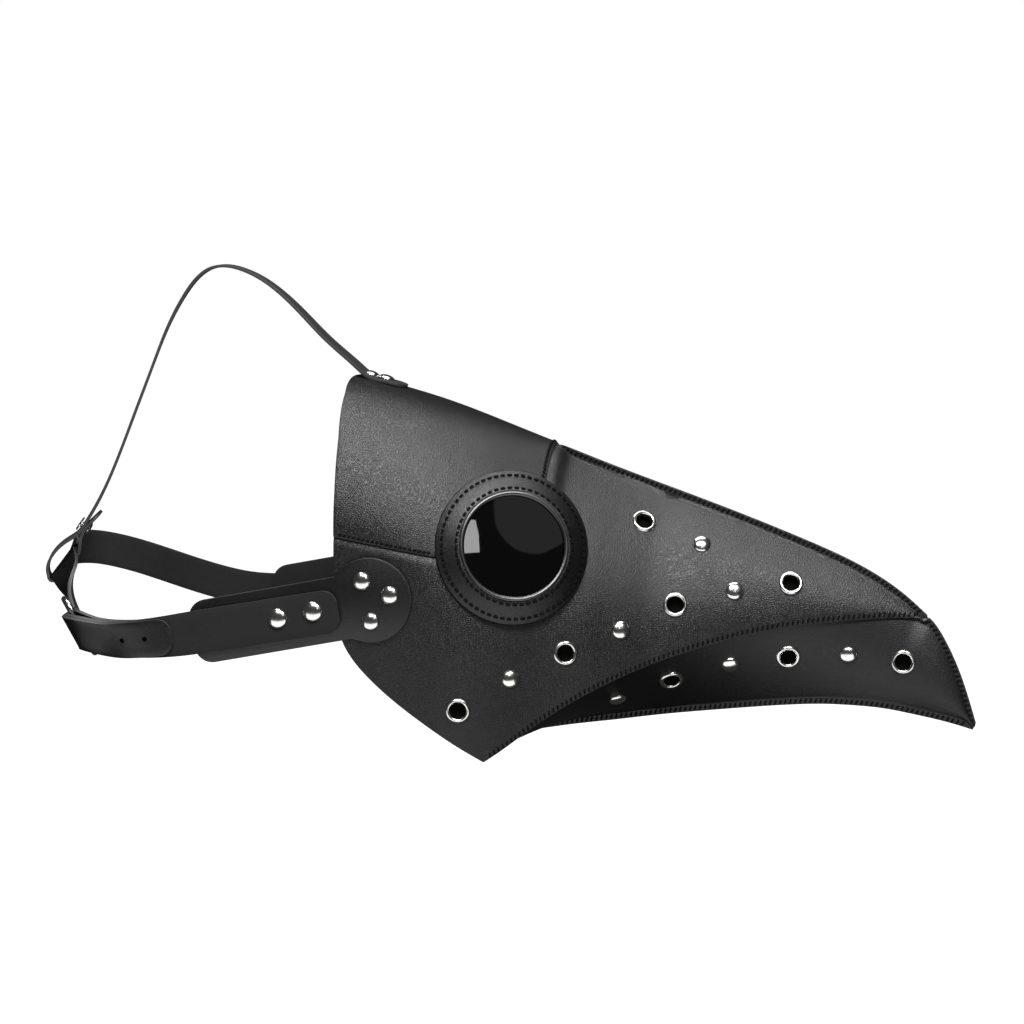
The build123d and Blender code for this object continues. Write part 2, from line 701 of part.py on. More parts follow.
# ---- Top strap -------------------------------------------------------------------------------
# Riveted to the forehead, arched over the head, and looped round the long strap at the back.
crown_rise = 0.4  # slack under the strap's riveted end
crown_lift = layer_gap + top_strap_leather / 2 + crown_rise
CROWN_LINE = [(x, on_ridge(x) + crown_lift) for x in (19, *TOP_RIVETS)] + [
    (-6.5, 82.9), (-13.2, 88.6), (-23.5, 97.6), (-33.8, 108), (-44.2, 117.8),
    (-54.6, 125.5), (-65, 130.5), (-75.4, 132.6), (-83, 131.2), (-88.8, 127.4), (-96.8, 117.6),
    (-105.3, 102.6),
    (-114, 82.1), (-123.3, 59.1), (-131.6, 38.5), (-141, 17.7), (-146.8, 7.3), (-151.2, 0.5), (-155.2, -4.4),
    (-161, -8.4), (-167.2, -13.6), (-171, -19.5), (-171.6, -25), (-168.8, -28.6), (-164.6, -26.6),
    (-158.8, -20.4),
    (-154.6, -13.8), (-153.6, -7.6), (-152.2, -3.8), (-149.8, -0.4), (-146.6, 2.8), (-143, 6.2),
]
crown_twist = 17.0  # turn of the strap about the vertical by the time it reaches the back
crown_steps = 90

with BuildLine(Plane.XZ) as crown:
    Spline(*CROWN_LINE)
crown_edge = crown.edges()[0]


def crown_plane(u):
    """Cross-section of the top strap: X across its width, Z along it."""
    twist = radians(crown_twist * ease(u * 1.8))
    tangent = crown_edge % u
    across = Vector(-sin(twist), cos(twist), 0)
    across = (across - tangent * across.dot(tangent)).normalized()
    return Plane(origin=crown_edge @ u, x_dir=across, z_dir=tangent)


crown_sections = []
for i in range(crown_steps + 1):
    with BuildSketch(crown_plane(i / crown_steps)) as strip:
        Rectangle(top_strap_width, top_strap_leather)
    crown_sections.append(strip.sketch)
closing = crown_plane(0.768)
loop_pin = Plane(origin=closing.origin, z_dir=closing.y_dir)
loop_stack = 2 * top_strap_leather + 0.5
loop_slack = 0.4  # between the strap's faces and the loop rivet's caps
with BuildPart() as top_strap:
    loft(sections=crown_sections, ruled=True)
    with Locations(*TOP_PINS, loop_pin):
        Cylinder(shank_radius + press_fit, 12, mode=Mode.SUBTRACT)
top_strap.part.label = "top_strap"
export_step(top_strap.part, "parts/top_strap.step")

flat_cap = 1.0
cap_rise = crown_lift + top_strap_leather / 2 + 0.4  # height of the cap's underside above the panel
with BuildPart() as top_rivets:
    with Locations(*[pin.offset(cap_rise) for pin in TOP_PINS]):
        Cylinder(rivet_radius - 0.4, 1.4, align=(Align.CENTER, Align.CENTER, Align.MIN))
    with Locations(*TOP_PINS):
        Cylinder(shank_radius, leather + 2.4, align=(Align.CENTER, Align.CENTER, Align.MAX))
        Cylinder(shank_radius, cap_rise + 0.4, align=(Align.CENTER, Align.CENTER, Align.MIN))
    with Locations(*[pin.offset(-leather - 1.4) for pin in TOP_PINS]):
        Cylinder(rivet_radius - 0.8, flat_cap, align=(Align.CENTER, Align.CENTER, Align.MAX))
top_rivets.part.label = "top_rivets"
export_step(top_rivets.part, "parts/top_rivets.step")

with BuildPart() as loop_rivet:
    with Locations(loop_pin.offset(-top_strap_leather / 2 - loop_slack)):
        Cylinder(rivet_radius - 0.7, flat_cap, align=(Align.CENTER, Align.CENTER, Align.MAX))
        Cylinder(shank_radius, loop_stack + 2 * loop_slack, align=(Align.CENTER, Align.CENTER, Align.MIN))
    with Locations(loop_pin.offset(-top_strap_leather / 2 + loop_stack + loop_slack)):
        Cylinder(rivet_radius - 0.7, flat_cap, align=(Align.CENTER, Align.CENTER, Align.MIN))
loop_rivet.part.label = "loop_rivet"
export_step(loop_rivet.part, "parts/loop_rivet.step")
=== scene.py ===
from math import cos, pi, radians, sin, sqrt

import bpy
import numpy as np
from mathutils import Matrix, Vector
from mathutils.bvhtree import BVHTree


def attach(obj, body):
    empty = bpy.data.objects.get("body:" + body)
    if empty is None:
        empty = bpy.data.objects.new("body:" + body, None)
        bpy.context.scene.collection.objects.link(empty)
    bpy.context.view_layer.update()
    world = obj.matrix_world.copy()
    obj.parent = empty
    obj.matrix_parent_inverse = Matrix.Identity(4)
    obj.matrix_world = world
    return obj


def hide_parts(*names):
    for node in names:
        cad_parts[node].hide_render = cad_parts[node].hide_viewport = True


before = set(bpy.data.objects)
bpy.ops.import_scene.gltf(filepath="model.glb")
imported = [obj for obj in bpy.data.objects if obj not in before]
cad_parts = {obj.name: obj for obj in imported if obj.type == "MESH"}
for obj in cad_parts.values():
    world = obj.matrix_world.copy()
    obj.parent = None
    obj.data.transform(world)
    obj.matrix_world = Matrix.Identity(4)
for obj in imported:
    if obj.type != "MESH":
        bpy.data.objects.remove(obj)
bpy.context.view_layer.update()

bl_info = {
    "name": "Plague Doctor Mask",
    "blender": (4, 5, 0),
    "version": (1, 0, 0),
    "location": "View3D > Sidebar > Plague Mask",
    "description": "Builds the looks of a long-beaked leather mask around its CAD frame",
    "category": "Object",
}

MM = 0.001
SIDES = (("right", -1), ("left", 1))

# ---- Shape of the leather, in millimetres ----------------------------------------------------
# Per station: x, ridge height, half width at the seam, seam height, temple and ridge exponents.
FLANK = [
    (-95, 115, 81, -150, 5.0, 2.2), (-40, 94, 81, -142, 5.0, 2.2), (0, 78.1, 80.5, -132, 5.0, 2.2),
    (35, 67.2, 79, -120, 4.6, 2.1), (72, 54, 70.5, -104, 3.8, 1.8), (95, 45.5, 60, -87.5, 3.2, 1.5),
    (120, 36, 49.5, -72, 2.7, 1.25), (150, 25.2, 37.5, -58.5, 2.4, 1.12), (185, 12.6, 27, -47.3, 2.2, 1.08),
    (220, -1, 17.8, -40.5, 2.0, 1.05), (250, -14.8, 9.8, -38, 1.9, 1.05), (268, -26.8, 4.6, -37.5, 1.9, 1.05),
    (279, -36.6, 1.7, -37.9, 1.9, 1.05),
]
FRONT_EDGE = [(279, -36.8), (281.5, -39.3), (287.7, -48.5), (295.2, -64.6), (300.2, -79.2), (304.3, -92.9)]
KEEL = [
    (88, -98.3), (102, -95.9), (124.8, -92.7), (147.5, -89.4), (170.1, -86.7), (192.5, -84.3), (214.8, -82.3),
    (229.5, -81.6), (244.3, -81.9), (259, -83), (273.6, -85.5), (288.3, -88.5), (304.3, -92.9),
]
BELLY = [
    (72, 0.0), (120, 0.6), (160, 2.0), (200, 2.8), (250, 4.3), (270, 5.0), (281, 4.6), (292, 2.6), (304, 0.4),
]
BACK_EDGE = [
    (-8.5, 82), (-6.2, 76), (-4.5, 71), (-1.8, 50), (-0.9, 25), (-0.6, 0), (-0.3, -28), (4, -47.5),
    (17, -64.5), (42, -84.5), (72, -104),
]
CHEEK_FLAT = 75.0
BROW_X = 95.0
BROW_LINE = [(-40, 11.5), (47, -4.8), (95, -10)]
FIN = 3.2
FIN_HALF = 1.6
EYE = (83.0, -1.5)
EYE_NORMAL = (0.37, 0.9, 0.22)
SIDE_EYELETS = [(60.3, -78.5), (109, -52.3), (159.2, -30.4), (213.7, -20.5), (141.7, 8.6)]
SIDE_RIVETS = [(84.4, -64), (134.3, -42.1), (187.1, -24), (170, -2)]
LOWER_EYELETS = [(156, -69), (212.5, -57), (268, -59)]
LOWER_RIVETS = [(129.5, -79), (184.7, -61), (241.5, -56)]
PATCH_RIVETS = [(13.8, -16.8), (27.6, -23.3), (18.1, -36.3)]
STRAP_RIVETS = [(-27.5, -35.7), (-10, -31.9)]


def ease(value):
    value = min(max(value, 0.0), 1.0)
    return value * value * (3 - 2 * value)


def lerp_table(table, x):
    return float(np.interp(x, [row[0] for row in table], [row[1] for row in table]))


class Curve:
    """Smooth curve through points of any dimension, walked by arc length from 0 to 1."""

    def __init__(self, points, first=None, last=None, dense=24):
        points = np.array(points, float)
        chord = np.linalg.norm(np.diff(points, axis=0), axis=1)
        knots = np.concatenate([[0], np.cumsum(chord)])
        count = len(points)
        matrix = np.zeros((count, count))
        right = np.zeros_like(points)
        for i in range(1, count - 1):
            matrix[i, i - 1] = chord[i]
            matrix[i, i] = 2 * (chord[i - 1] + chord[i])
            matrix[i, i + 1] = chord[i - 1]
            right[i] = 3 * (
                chord[i] * (points[i] - points[i - 1]) / chord[i - 1]
                + chord[i - 1] * (points[i + 1] - points[i]) / chord[i]
            )
        matrix[0, 0] = matrix[-1, -1] = 1.0
        if first is None:
            matrix[0, 1] = 0.5
            right[0] = 1.5 * (points[1] - points[0]) / chord[0]
        else:
            right[0] = first
        if last is None:
            matrix[-1, -2] = 0.5
            right[-1] = 1.5 * (points[-1] - points[-2]) / chord[-1]
        else:
            right[-1] = last
        slopes = np.linalg.solve(matrix, right)
        samples = []
        for i in range(count - 1):
            for j in range(dense + (i == count - 2)):
                u = j / dense
                h = chord[i]
                samples.append(
                    (2 * u**3 - 3 * u**2 + 1) * points[i] + (u**3 - 2 * u**2 + u) * h * slopes[i]
                    + (-2 * u**3 + 3 * u**2) * points[i + 1] + (u**3 - u**2) * h * slopes[i + 1]
                )
        self.samples = np.array(samples)
        steps = np.linalg.norm(np.diff(self.samples, axis=0), axis=1)
        self.reach = np.concatenate([[0], np.cumsum(steps)])
        self.length = float(self.reach[-1])

    def at(self, u):
        want = u * self.length
        return np.array([np.interp(want, self.reach, column) for column in self.samples.T])

    def tangent(self, u):
        low, high = self.at(max(u - 0.004, 0)), self.at(min(u + 0.004, 1))
        return (high - low) / np.linalg.norm(high - low)

    def column(self, x, k=1):
        """Value of column k where column 0, which always rises, equals x."""
        return float(np.interp(x, self.samples[:, 0], self.samples[:, k]))


FLANK_CURVE = Curve(FLANK)
BACK_CURVE = Curve(BACK_EDGE)
FRONT_CURVE = Curve(FRONT_EDGE)
KEEL_CURVE = Curve(KEEL)


def station(x):
    x = min(max(x, -95), 279)
    return [FLANK_CURVE.column(x, k) for k in range(1, 6)]


def brow_z(x):
    return lerp_table(BROW_LINE, x)


def flank(x, drop):
    """(half width, height) on the flank below the ridge fin: drop is 0 at its foot and 1 at the seam."""
    ridge, half, seam, square, sharp = station(x)
    lift = FIN * ease((x - 96) / 8)
    top = ridge - lift
    width = half * (1 - (1 - drop) ** square) ** (1 / sharp)
    width = sqrt(width**2 + (FIN_HALF * lift / FIN) ** 2)
    over = (CHEEK_FLAT - width) / 0.9
    width = CHEEK_FLAT - 0.9 * (over if over > 20 else float(np.log1p(np.exp(over))))
    return width, top + (seam - top) * drop


def flank_at(x, z):
    """Half width of the flank at a height."""
    ridge, half, seam, square, sharp = station(x)
    top = ridge - FIN * ease((x - 96) / 8)
    return flank(x, min(max((top - z) / (top - seam), 0.0), 1.0))[0]


def back_edge(z):
    """Where the mask's back edge stands at a height."""
    heights, places = [row[1] for row in BACK_EDGE], [row[0] for row in BACK_EDGE]
    return float(np.interp(-z, [-h for h in heights], places))


def plane(point, normal, across=None):
    """Matrix in metres from a point in millimetres, with Z along the normal."""
    normal = Vector(normal).normalized()
    across = Vector(across) if across else Vector((0, 0, 1)).cross(normal)
    if across.length < 1e-6:
        across = Vector((1, 0, 0))
    across = (across - normal * across.dot(normal)).normalized()
    up = normal.cross(across)
    matrix = Matrix((across, up, normal)).transposed().to_4x4()
    matrix.translation = Vector(point) * MM
    return matrix


# ---- Lower panels ----------------------------------------------------------------------------
SEAM_LIFT = 3.0


def upper_edge(s):
    """Top edge of the lower panel: behind the side panel's seam, then down the front edge."""
    seam_share = 0.81
    if s < seam_share:
        x = 72 + (279 - 72) * s / seam_share
        ridge, half, seam, square, sharp = station(x)
        lift = SEAM_LIFT * (1 - ease((x - 258) / 20))
        z = min(seam + lift, ridge)
        width = max(flank_at(x, z) - 1.9, FIN_HALF)
        return np.array([x, width, z])
    x, z = FRONT_CURVE.at((s - seam_share) / (1 - seam_share))
    return np.array([x, FIN_HALF, z])


def lower_point(s, v):
    """Point on the right-hand lower panel: s runs to the tip, v from the top edge to the keel."""
    top = upper_edge(s)
    keel_x, keel_z = KEEL_CURVE.at(s)
    bottom = np.array([keel_x, FIN_HALF, keel_z])
    point = top + (bottom - top) * v
    length = max(float(np.linalg.norm((bottom - top)[[0, 2]])), 0.01)
    fin_top = min(FIN * ease((top[0] - 266) / 14), length * 0.3)
    fin_low = min(FIN, length * 0.3)
    inner = (v * length - fin_top) / max(length - fin_top - fin_low, 0.01)
    inner = min(max(inner, 0.0), 1.0)
    width = top[1] + (FIN_HALF - top[1]) * inner
    bulge = lerp_table(BELLY, (top[0] + keel_x) / 2)
    point[1] = width + bulge * sin(pi * inner) ** 0.8
    return point


# ---- Making meshes ---------------------------------------------------------------------------
def finish_object(obj, name):
    obj.name = name
    obj.data.name = name
    return obj


def select_only(*objects):
    bpy.ops.object.select_all(action="DESELECT")
    for obj in objects:
        obj.select_set(True)
    bpy.context.view_layer.objects.active = objects[0]


def edit_all(obj):
    select_only(obj)
    bpy.ops.object.mode_set(mode="EDIT")
    bpy.ops.mesh.select_all(action="SELECT")


def outward(obj):
    edit_all(obj)
    bpy.ops.mesh.normals_make_consistent(inside=False)
    bpy.ops.object.mode_set(mode="OBJECT")


def mesh_object(name, vertices, edges, faces):
    mesh = bpy.data.meshes.new(name)
    mesh.from_pydata([tuple(vertex) for vertex in vertices], edges, faces)
    obj = bpy.data.objects.new(name, mesh)
    bpy.context.collection.objects.link(obj)
    return obj


def sheet_grid(name, columns, rows, place):
    """Grid of columns by rows points, laid on the surface place(s, t), which answers in mm."""
    bpy.ops.mesh.primitive_grid_add(x_subdivisions=columns - 1, y_subdivisions=rows - 1, size=2)
    obj = bpy.context.object
    for vertex in obj.data.vertices:
        s = round((vertex.co.x + 1) / 2 * (columns - 1)) / (columns - 1)
        t = round((vertex.co.y + 1) / 2 * (rows - 1)) / (rows - 1)
        vertex.co = Vector(place(s, t)) * MM
    return finish_object(obj, name)


def apply_modifier(obj, kind, **settings):
    select_only(obj)
    modifier = obj.modifiers.new(kind.title(), kind)
    for key, value in settings.items():
        setattr(modifier, key, value)
    bpy.ops.object.modifier_apply(modifier=modifier.name)


def round_edges(obj, width, segments=2):
    """Rounds the sharp edges of obj, width in mm."""
    sharp = radians(50)
    apply_modifier(obj, "BEVEL", width=width * MM, segments=segments, limit_method="ANGLE", angle_limit=sharp)


def thicken(obj, thickness, materials, edge=0.35, offset=-1.0):
    """Gives a sheet its leather: the face, the flesh side and the cut edge."""
    for material in materials:
        obj.data.materials.append(material)
    apply_modifier(
        obj, "SOLIDIFY", thickness=thickness * MM, offset=offset, use_quality_normals=True,
        material_offset=1 if len(materials) > 2 else 0, material_offset_rim=len(materials) - 1,
    )
    if edge:
        round_edges(obj, edge)
    smooth(obj)


def smooth(obj, angle=40):
    select_only(obj)
    bpy.ops.object.shade_smooth_by_angle(angle=radians(angle))


def turned(name, outline, steps=48, matrices=(Matrix.Identity(4),), closed=True):
    """Ring or dome spun from (radius, height) points in mm, one copy for each matrix."""
    count = len(outline)
    edges = [(i, i + 1) for i in range(count - 1)] + ([(count - 1, 0)] if closed else [])
    obj = mesh_object(name, [(radius * MM, 0, height * MM) for radius, height in outline], edges, [])
    edit_all(obj)
    bpy.ops.mesh.spin(steps=steps, angle=2 * pi, center=(0, 0, 0), axis=(0, 0, 1), dupli=False)
    bpy.ops.mesh.select_all(action="SELECT")
    bpy.ops.mesh.remove_doubles(threshold=1e-6)
    bpy.ops.mesh.normals_make_consistent(inside=False)
    bpy.ops.object.mode_set(mode="OBJECT")
    return copies(obj, matrices)


def copies(obj, matrices):
    """One joined object with a copy of obj's mesh at each matrix."""
    made = []
    for matrix in matrices:
        twin = bpy.data.objects.new(obj.name, obj.data.copy())
        twin.data.transform(matrix)
        bpy.context.collection.objects.link(twin)
        made.append(twin)
    name = obj.name
    bpy.data.objects.remove(obj)
    select_only(*made)
    if len(made) > 1:
        bpy.ops.object.join()
    return finish_object(bpy.context.view_layer.objects.active, name)


def stitch_row(name, points, normals, length, pitch, radius, material, slant=0.0):
    """Row of thread stitches lying on points (mm), spaced along them by pitch."""
    path = np.array(points, float)
    steps = np.linalg.norm(np.diff(path, axis=0), axis=1)
    reach = np.concatenate([[0], np.cumsum(steps)])
    count = max(int(reach[-1] / pitch), 1)
    profile = [(-0.5, 0.55), (-0.34, 1.0), (0.34, 1.0), (0.5, 0.55)]
    sides = 6
    vertices, faces = [], []
    normals = np.array(normals, float)
    for i in range(count):
        middle = (i + 0.5) * reach[-1] / count
        ends = (middle - length / 2, middle, middle + length / 2)
        at = [np.array([np.interp(place, reach, path[:, k]) for k in range(3)]) for place in ends]
        out = np.array([np.interp(middle, reach, normals[:, k]) for k in range(3)])
        along = at[2] - at[0]
        along /= np.linalg.norm(along)
        out = out - along * out.dot(along)
        out /= np.linalg.norm(out)
        wide = np.cross(along, out)
        along, wide = along * cos(slant) + wide * sin(slant), wide * cos(slant) - along * sin(slant)
        base = len(vertices)
        for share, swell in profile:
            centre = at[1] + along * share * length + out * radius * (0.45 - 0.9 * (abs(share) > 0.4))
            for k in range(sides):
                turn = 2 * pi * k / sides
                vertices.append((centre + (wide * cos(turn) * 1.15 + out * sin(turn)) * radius * swell) * MM)
        for ring in range(3):
            for k in range(sides):
                a, b = base + ring * sides + k, base + ring * sides + (k + 1) % sides
                faces.append((a, b, b + sides, a + sides))
        faces.append(tuple(base + k for k in reversed(range(sides))))
        faces.append(tuple(base + 3 * sides + k for k in range(sides)))
    obj = mesh_object(name, vertices, [], faces)
    obj.data.materials.append(material)
    outward(obj)
    return obj


def cut_round(obj, holes, depth=40, own_folds=False):
    """Cuts round holes through obj: each is (matrix, radius in mm), along the matrix's Z."""
    cutters = []
    for matrix, radius in holes:
        bpy.ops.mesh.primitive_cylinder_add(vertices=48, radius=radius * MM, depth=depth * MM)
        cutter = bpy.context.object
        cutter.data.transform(matrix)
        cutters.append(cutter)
    select_only(*cutters)
    if len(cutters) > 1:
        bpy.ops.object.join()
    subtract(obj, bpy.context.view_layer.objects.active, own_folds)


# ---- Materials -------------------------------------------------------------------------------
def colour(code):
    """sRGB hex to linear RGBA."""
    channels = [int(code[i : i + 2], 16) / 255 for i in (0, 2, 4)]
    return tuple(c / 12.92 if c <= 0.04045 else ((c + 0.055) / 1.055) ** 2.4 for c in channels) + (1.0,)


def add_node(tree, kind, links=(), **values):
    """Adds a node: values set its properties or inputs, links are (input, output socket)."""
    node = tree.nodes.new(kind)
    for key, value in values.items():
        if hasattr(node, key):
            setattr(node, key, value)
        else:
            node.inputs[key.replace("_", " ")].default_value = value
    for name, source in links:
        tree.links.new(source, node.inputs[name])
    return node


def new_material(name):
    material = bpy.data.materials.new(name)
    material.use_nodes = True
    tree = material.node_tree
    tree.nodes.clear()
    return material, tree


def blended(tree, factor, dark, light):
    """Output socket of a mix between two colours."""
    mix = add_node(tree, "ShaderNodeMix", [("Factor", factor)], data_type="RGBA")
    mix.inputs[6].default_value = colour(dark)
    mix.inputs[7].default_value = colour(light)
    return mix.outputs[2]


def raised(tree, height, depth_mm, strength=1.0):
    """Normal of a surface raised by a pattern of the given depth."""
    bump = add_node(tree, "ShaderNodeBump", [("Height", height)], Strength=strength, Distance=depth_mm * MM)
    return bump.outputs["Normal"]


def surface(tree, links, **values):
    """The shader and the material's output."""
    shader = add_node(tree, "ShaderNodeBsdfPrincipled", links, **values)
    add_node(tree, "ShaderNodeOutputMaterial", [("Surface", shader.outputs["BSDF"])])
    return shader


def leather(name, dark, light, rough, grain_mm, grain_depth):
    """Black bonded leather: embossed pebble grain, faint wear and slow changes of sheen."""
    material, tree = new_material(name)
    place = add_node(tree, "ShaderNodeTexCoord").outputs["Object"]
    pebbles, pores = 1000 / grain_mm, 1000 / (grain_mm * 0.45)
    at = [("Vector", place)]
    cells = add_node(tree, "ShaderNodeTexVoronoi", at, feature="DISTANCE_TO_EDGE", Scale=pebbles)
    valley = add_node(tree, "ShaderNodeMapRange", [("Value", cells.outputs["Distance"])], From_Max=0.28)
    fine = add_node(tree, "ShaderNodeTexNoise", at, Scale=pores, Detail=3.0, Roughness=0.6)
    slow = add_node(tree, "ShaderNodeTexNoise", at, Scale=28.0, Detail=3.0, Roughness=0.55)
    both = [(0, valley.outputs["Result"]), (1, fine.outputs["Fac"])]
    grain = add_node(tree, "ShaderNodeMath", both, operation="MULTIPLY")
    tone = add_node(tree, "ShaderNodeMapRange", [("Value", slow.outputs["Fac"])], From_Min=0.35, From_Max=0.7)
    base = blended(tree, tone.outputs["Result"], dark, light)
    sheen = add_node(
        tree, "ShaderNodeMapRange", [("Value", fine.outputs["Fac"])], From_Min=0.3, From_Max=0.75,
        To_Min=rough - 0.07, To_Max=rough + 0.09,
    )
    normal = raised(tree, grain.outputs["Value"], grain_depth)
    surface(tree, [("Base Color", base), ("Roughness", sheen.outputs["Result"]), ("Normal", normal)])
    return material


def cut_edge(name, dark, light):
    """Cut and burnished leather edge: fibres compressed under edge paint."""
    material, tree = new_material(name)
    place = add_node(tree, "ShaderNodeTexCoord").outputs["Object"]
    fibre = add_node(tree, "ShaderNodeTexNoise", [("Vector", place)], Scale=1900.0, Detail=4.0, Roughness=0.7)
    base = blended(tree, fibre.outputs["Fac"], dark, light)
    normal = raised(tree, fibre.outputs["Fac"], 0.08, strength=0.6)
    surface(tree, [("Base Color", base), ("Normal", normal)], Roughness=0.5)
    return material


def nickel(name, tint, rough):
    """Stamped and nickel-plated brass: bright, with fine polishing marks and faint haze; with a dark tint it
    makes a copy darkened by painted shade.
    """
    material, tree = new_material(name)
    place = add_node(tree, "ShaderNodeTexCoord").outputs["Object"]
    marks = add_node(tree, "ShaderNodeTexNoise", [("Vector", place)], Scale=900.0, Detail=4.0, Roughness=0.6)
    haze = add_node(
        tree, "ShaderNodeMapRange", [("Value", marks.outputs["Fac"])], From_Min=0.3, From_Max=0.7,
        To_Min=rough, To_Max=rough + 0.08,
    )
    normal = raised(tree, marks.outputs["Fac"], 0.02, strength=0.15)
    shader = surface(tree, [("Roughness", haze.outputs["Result"]), ("Normal", normal)], Metallic=1.0)
    shader.inputs["Base Color"].default_value = colour(tint)
    return material


def lens_plastic(name):
    """Smoked acrylic lens, nearly opaque: moulded, polished, with a faint film of dust."""
    material, tree = new_material(name)
    place = add_node(tree, "ShaderNodeTexCoord").outputs["Object"]
    film = add_node(tree, "ShaderNodeTexNoise", [("Vector", place)], Scale=60.0, Detail=5.0, Roughness=0.6)
    haze = add_node(
        tree, "ShaderNodeMapRange", [("Value", film.outputs["Fac"])], From_Min=0.4, From_Max=0.8,
        To_Min=0.02, To_Max=0.05,
    )
    shader = surface(tree, [("Roughness", haze.outputs["Result"])], IOR=1.49)
    shader.inputs["Base Color"].default_value = colour("050506")
    return material


def thread(name):
    """Waxed polyester thread, two strands twisted."""
    material, tree = new_material(name)
    place = add_node(tree, "ShaderNodeTexCoord").outputs["Object"]
    twist = add_node(tree, "ShaderNodeTexNoise", [("Vector", place)], Scale=2500.0, Detail=2.0)
    base = blended(tree, twist.outputs["Fac"], "010101", "0b0b0c")
    shader = surface(tree, [("Base Color", base)], Roughness=0.85)
    shader.inputs["Specular IOR Level"].default_value = 0.15
    return material


def gauze(name):
    """Black gauze: near-black matte disc with crossed threads a third of a millimetre apart, set behind the
    eyelets as painted shade inside the holes.
    """
    material, tree = new_material(name)
    place = add_node(tree, "ShaderNodeTexCoord").outputs["Object"]
    warp = add_node(tree, "ShaderNodeTexWave", [("Vector", place)], bands_direction="X", Scale=480.0)
    weft = add_node(tree, "ShaderNodeTexWave", [("Vector", place)], bands_direction="Z", Scale=480.0)
    both = [(0, warp.outputs["Fac"]), (1, weft.outputs["Fac"])]
    weave = add_node(tree, "ShaderNodeMath", both, operation="MULTIPLY")
    # Near-black colour and low specular: painted shade that keeps the eyelet holes dark.
    base = blended(tree, weave.outputs["Value"], "020202", "0d0d0d")
    shader = surface(tree, [("Base Color", base)], Roughness=0.95)
    shader.inputs["Specular IOR Level"].default_value = 0.1
    return material


MATERIALS = {}


def make_materials():
    MATERIALS["panel"] = leather("Bonded leather, embossed pebble grain", "080809", "101011", 0.36, 0.9, 0.15)
    MATERIALS["lower"] = leather("Bonded leather, fine grain", "0b0b0c", "101011", 0.45, 0.9, 0.1)
    MATERIALS["flesh"] = leather("Leather flesh side, brushed backing", "0c0c0c", "141414", 0.85, 0.6, 0.08)
    MATERIALS["strap"] = leather("Strap leather, smooth rolled", "0a0a0b", "121213", 0.36, 0.8, 0.07)
    MATERIALS["ring"] = leather("Moulded ring leather", "0b0b0c", "131314", 0.33, 0.9, 0.1)
    MATERIALS["edge"] = cut_edge("Cut leather edge, painted", "39393a", "565657")
    MATERIALS["edge_dark"] = cut_edge("Strap edge, black edge paint", "262627", "434344")
    MATERIALS["bezel"] = lens_plastic("Moulded ring plastic, polished")
    MATERIALS["nickel"] = nickel("Nickel-plated brass, stamped and polished", "dddcd9", 0.16)
    # The lens rim's nickel has a far darker tint than the hardware: painted shade of the step between the
    # leather ring and the lens.
    MATERIALS["rim"] = nickel("Nickel-plated rim, darkened as painted shade", "5a5a59", 0.28)
    # Gauze is a near-black disc behind each eyelet: painted shade inside the holes.
    MATERIALS["gauze"] = gauze("Black gauze disc, painted hole shade")
    MATERIALS["lens"] = lens_plastic("Smoked acrylic, polished")
    MATERIALS["thread"] = thread("Waxed polyester thread")


def faced(face, edge="edge"):
    """Materials of a piece of leather: its face, its flesh side and its cut edge."""
    return [MATERIALS[face], MATERIALS["flesh"], MATERIALS[edge]]


# ---- Leather pieces --------------------------------------------------------------------------
SKIN = {}
NOSE_X = 279.0
LAP = 8.0


def add_piece(obj, body, slot, *nodes):
    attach(obj, body)
    if nodes:
        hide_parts(*nodes)
    return obj


def mirrored(place, side):
    def put(s, t):
        x, y, z = place(s, t)
        return x, side * y, z
    return put


FIN_ROWS = 0.05
COLUMNS = [0, 0.27, 0.36, 1]
BACK_TOP = 12.2
BACK_LINE = Curve([(x, z) for x, z in [(-0.75, BACK_TOP)] + [row for row in BACK_EDGE if row[1] < 5]])


def side_apex(s):
    """Top of the side panel's face: under the forehead panel's lap, then at the foot of the fin."""
    x = float(np.interp(s, COLUMNS, [-0.75, 84, 92, NOSE_X]))
    ridge = station(x)[0] - FIN * ease((x - 96) / 8)
    under = ease((x - 87) / 4)
    return np.array([x, (brow_z(x) + LAP) * (1 - under) + ridge * under])


def side_point(s, t):
    """Side panel: s from the back edge to the nose, t from its top edge to the seam."""
    apex = side_apex(s)
    if t < FIN_ROWS:
        lift = FIN * ease((apex[0] - 96) / 8)
        width = flank(apex[0], 0 if apex[0] > 91 else 0.3)[0] if lift else flank_at(*apex)
        return apex[0], width, apex[1] + lift * (1 - t / FIN_ROWS)
    run = (t - FIN_ROWS) / (1 - FIN_ROWS)
    low_x = float(np.interp(s, COLUMNS, [72, 99, 107, NOSE_X]))
    low = np.array([low_x, station(low_x)[2]])
    back, back_top, back_low = BACK_LINE.at(run), BACK_LINE.at(0), BACK_LINE.at(1)
    nose_top, nose_low = side_apex(1), np.array([NOSE_X, station(NOSE_X)[2]])
    nose = nose_top + (nose_low - nose_top) * run
    corners = (1 - s) * ((1 - run) * back_top + run * back_low) + s * ((1 - run) * nose_top + run * nose_low)
    x, z = (1 - s) * back + s * nose + (1 - run) * apex + run * low - corners
    return x, flank_at(x, z), z


def side_tuck(x, z):
    """How far the side panel is pressed in where the forehead panel laps over it, in mm."""
    low = ease((z - (brow_z(x) - 3.5)) / 4.5)
    front = 1 - ease((x - 94) / 4.5)
    return -1.3 * low * front


# Per hollow or fold: x and z of its middle, half length, half height, depth, and slope in radians.
SWELLS = [
    (150, -18, 12, 34, -1.6, 0.0), (118, -20, 10, 40, 0.8, 0.0), (205, -18, 30, 9, 0.8, -0.35),
    (60, -62, 14, 30, 0.8, 0.3),
]


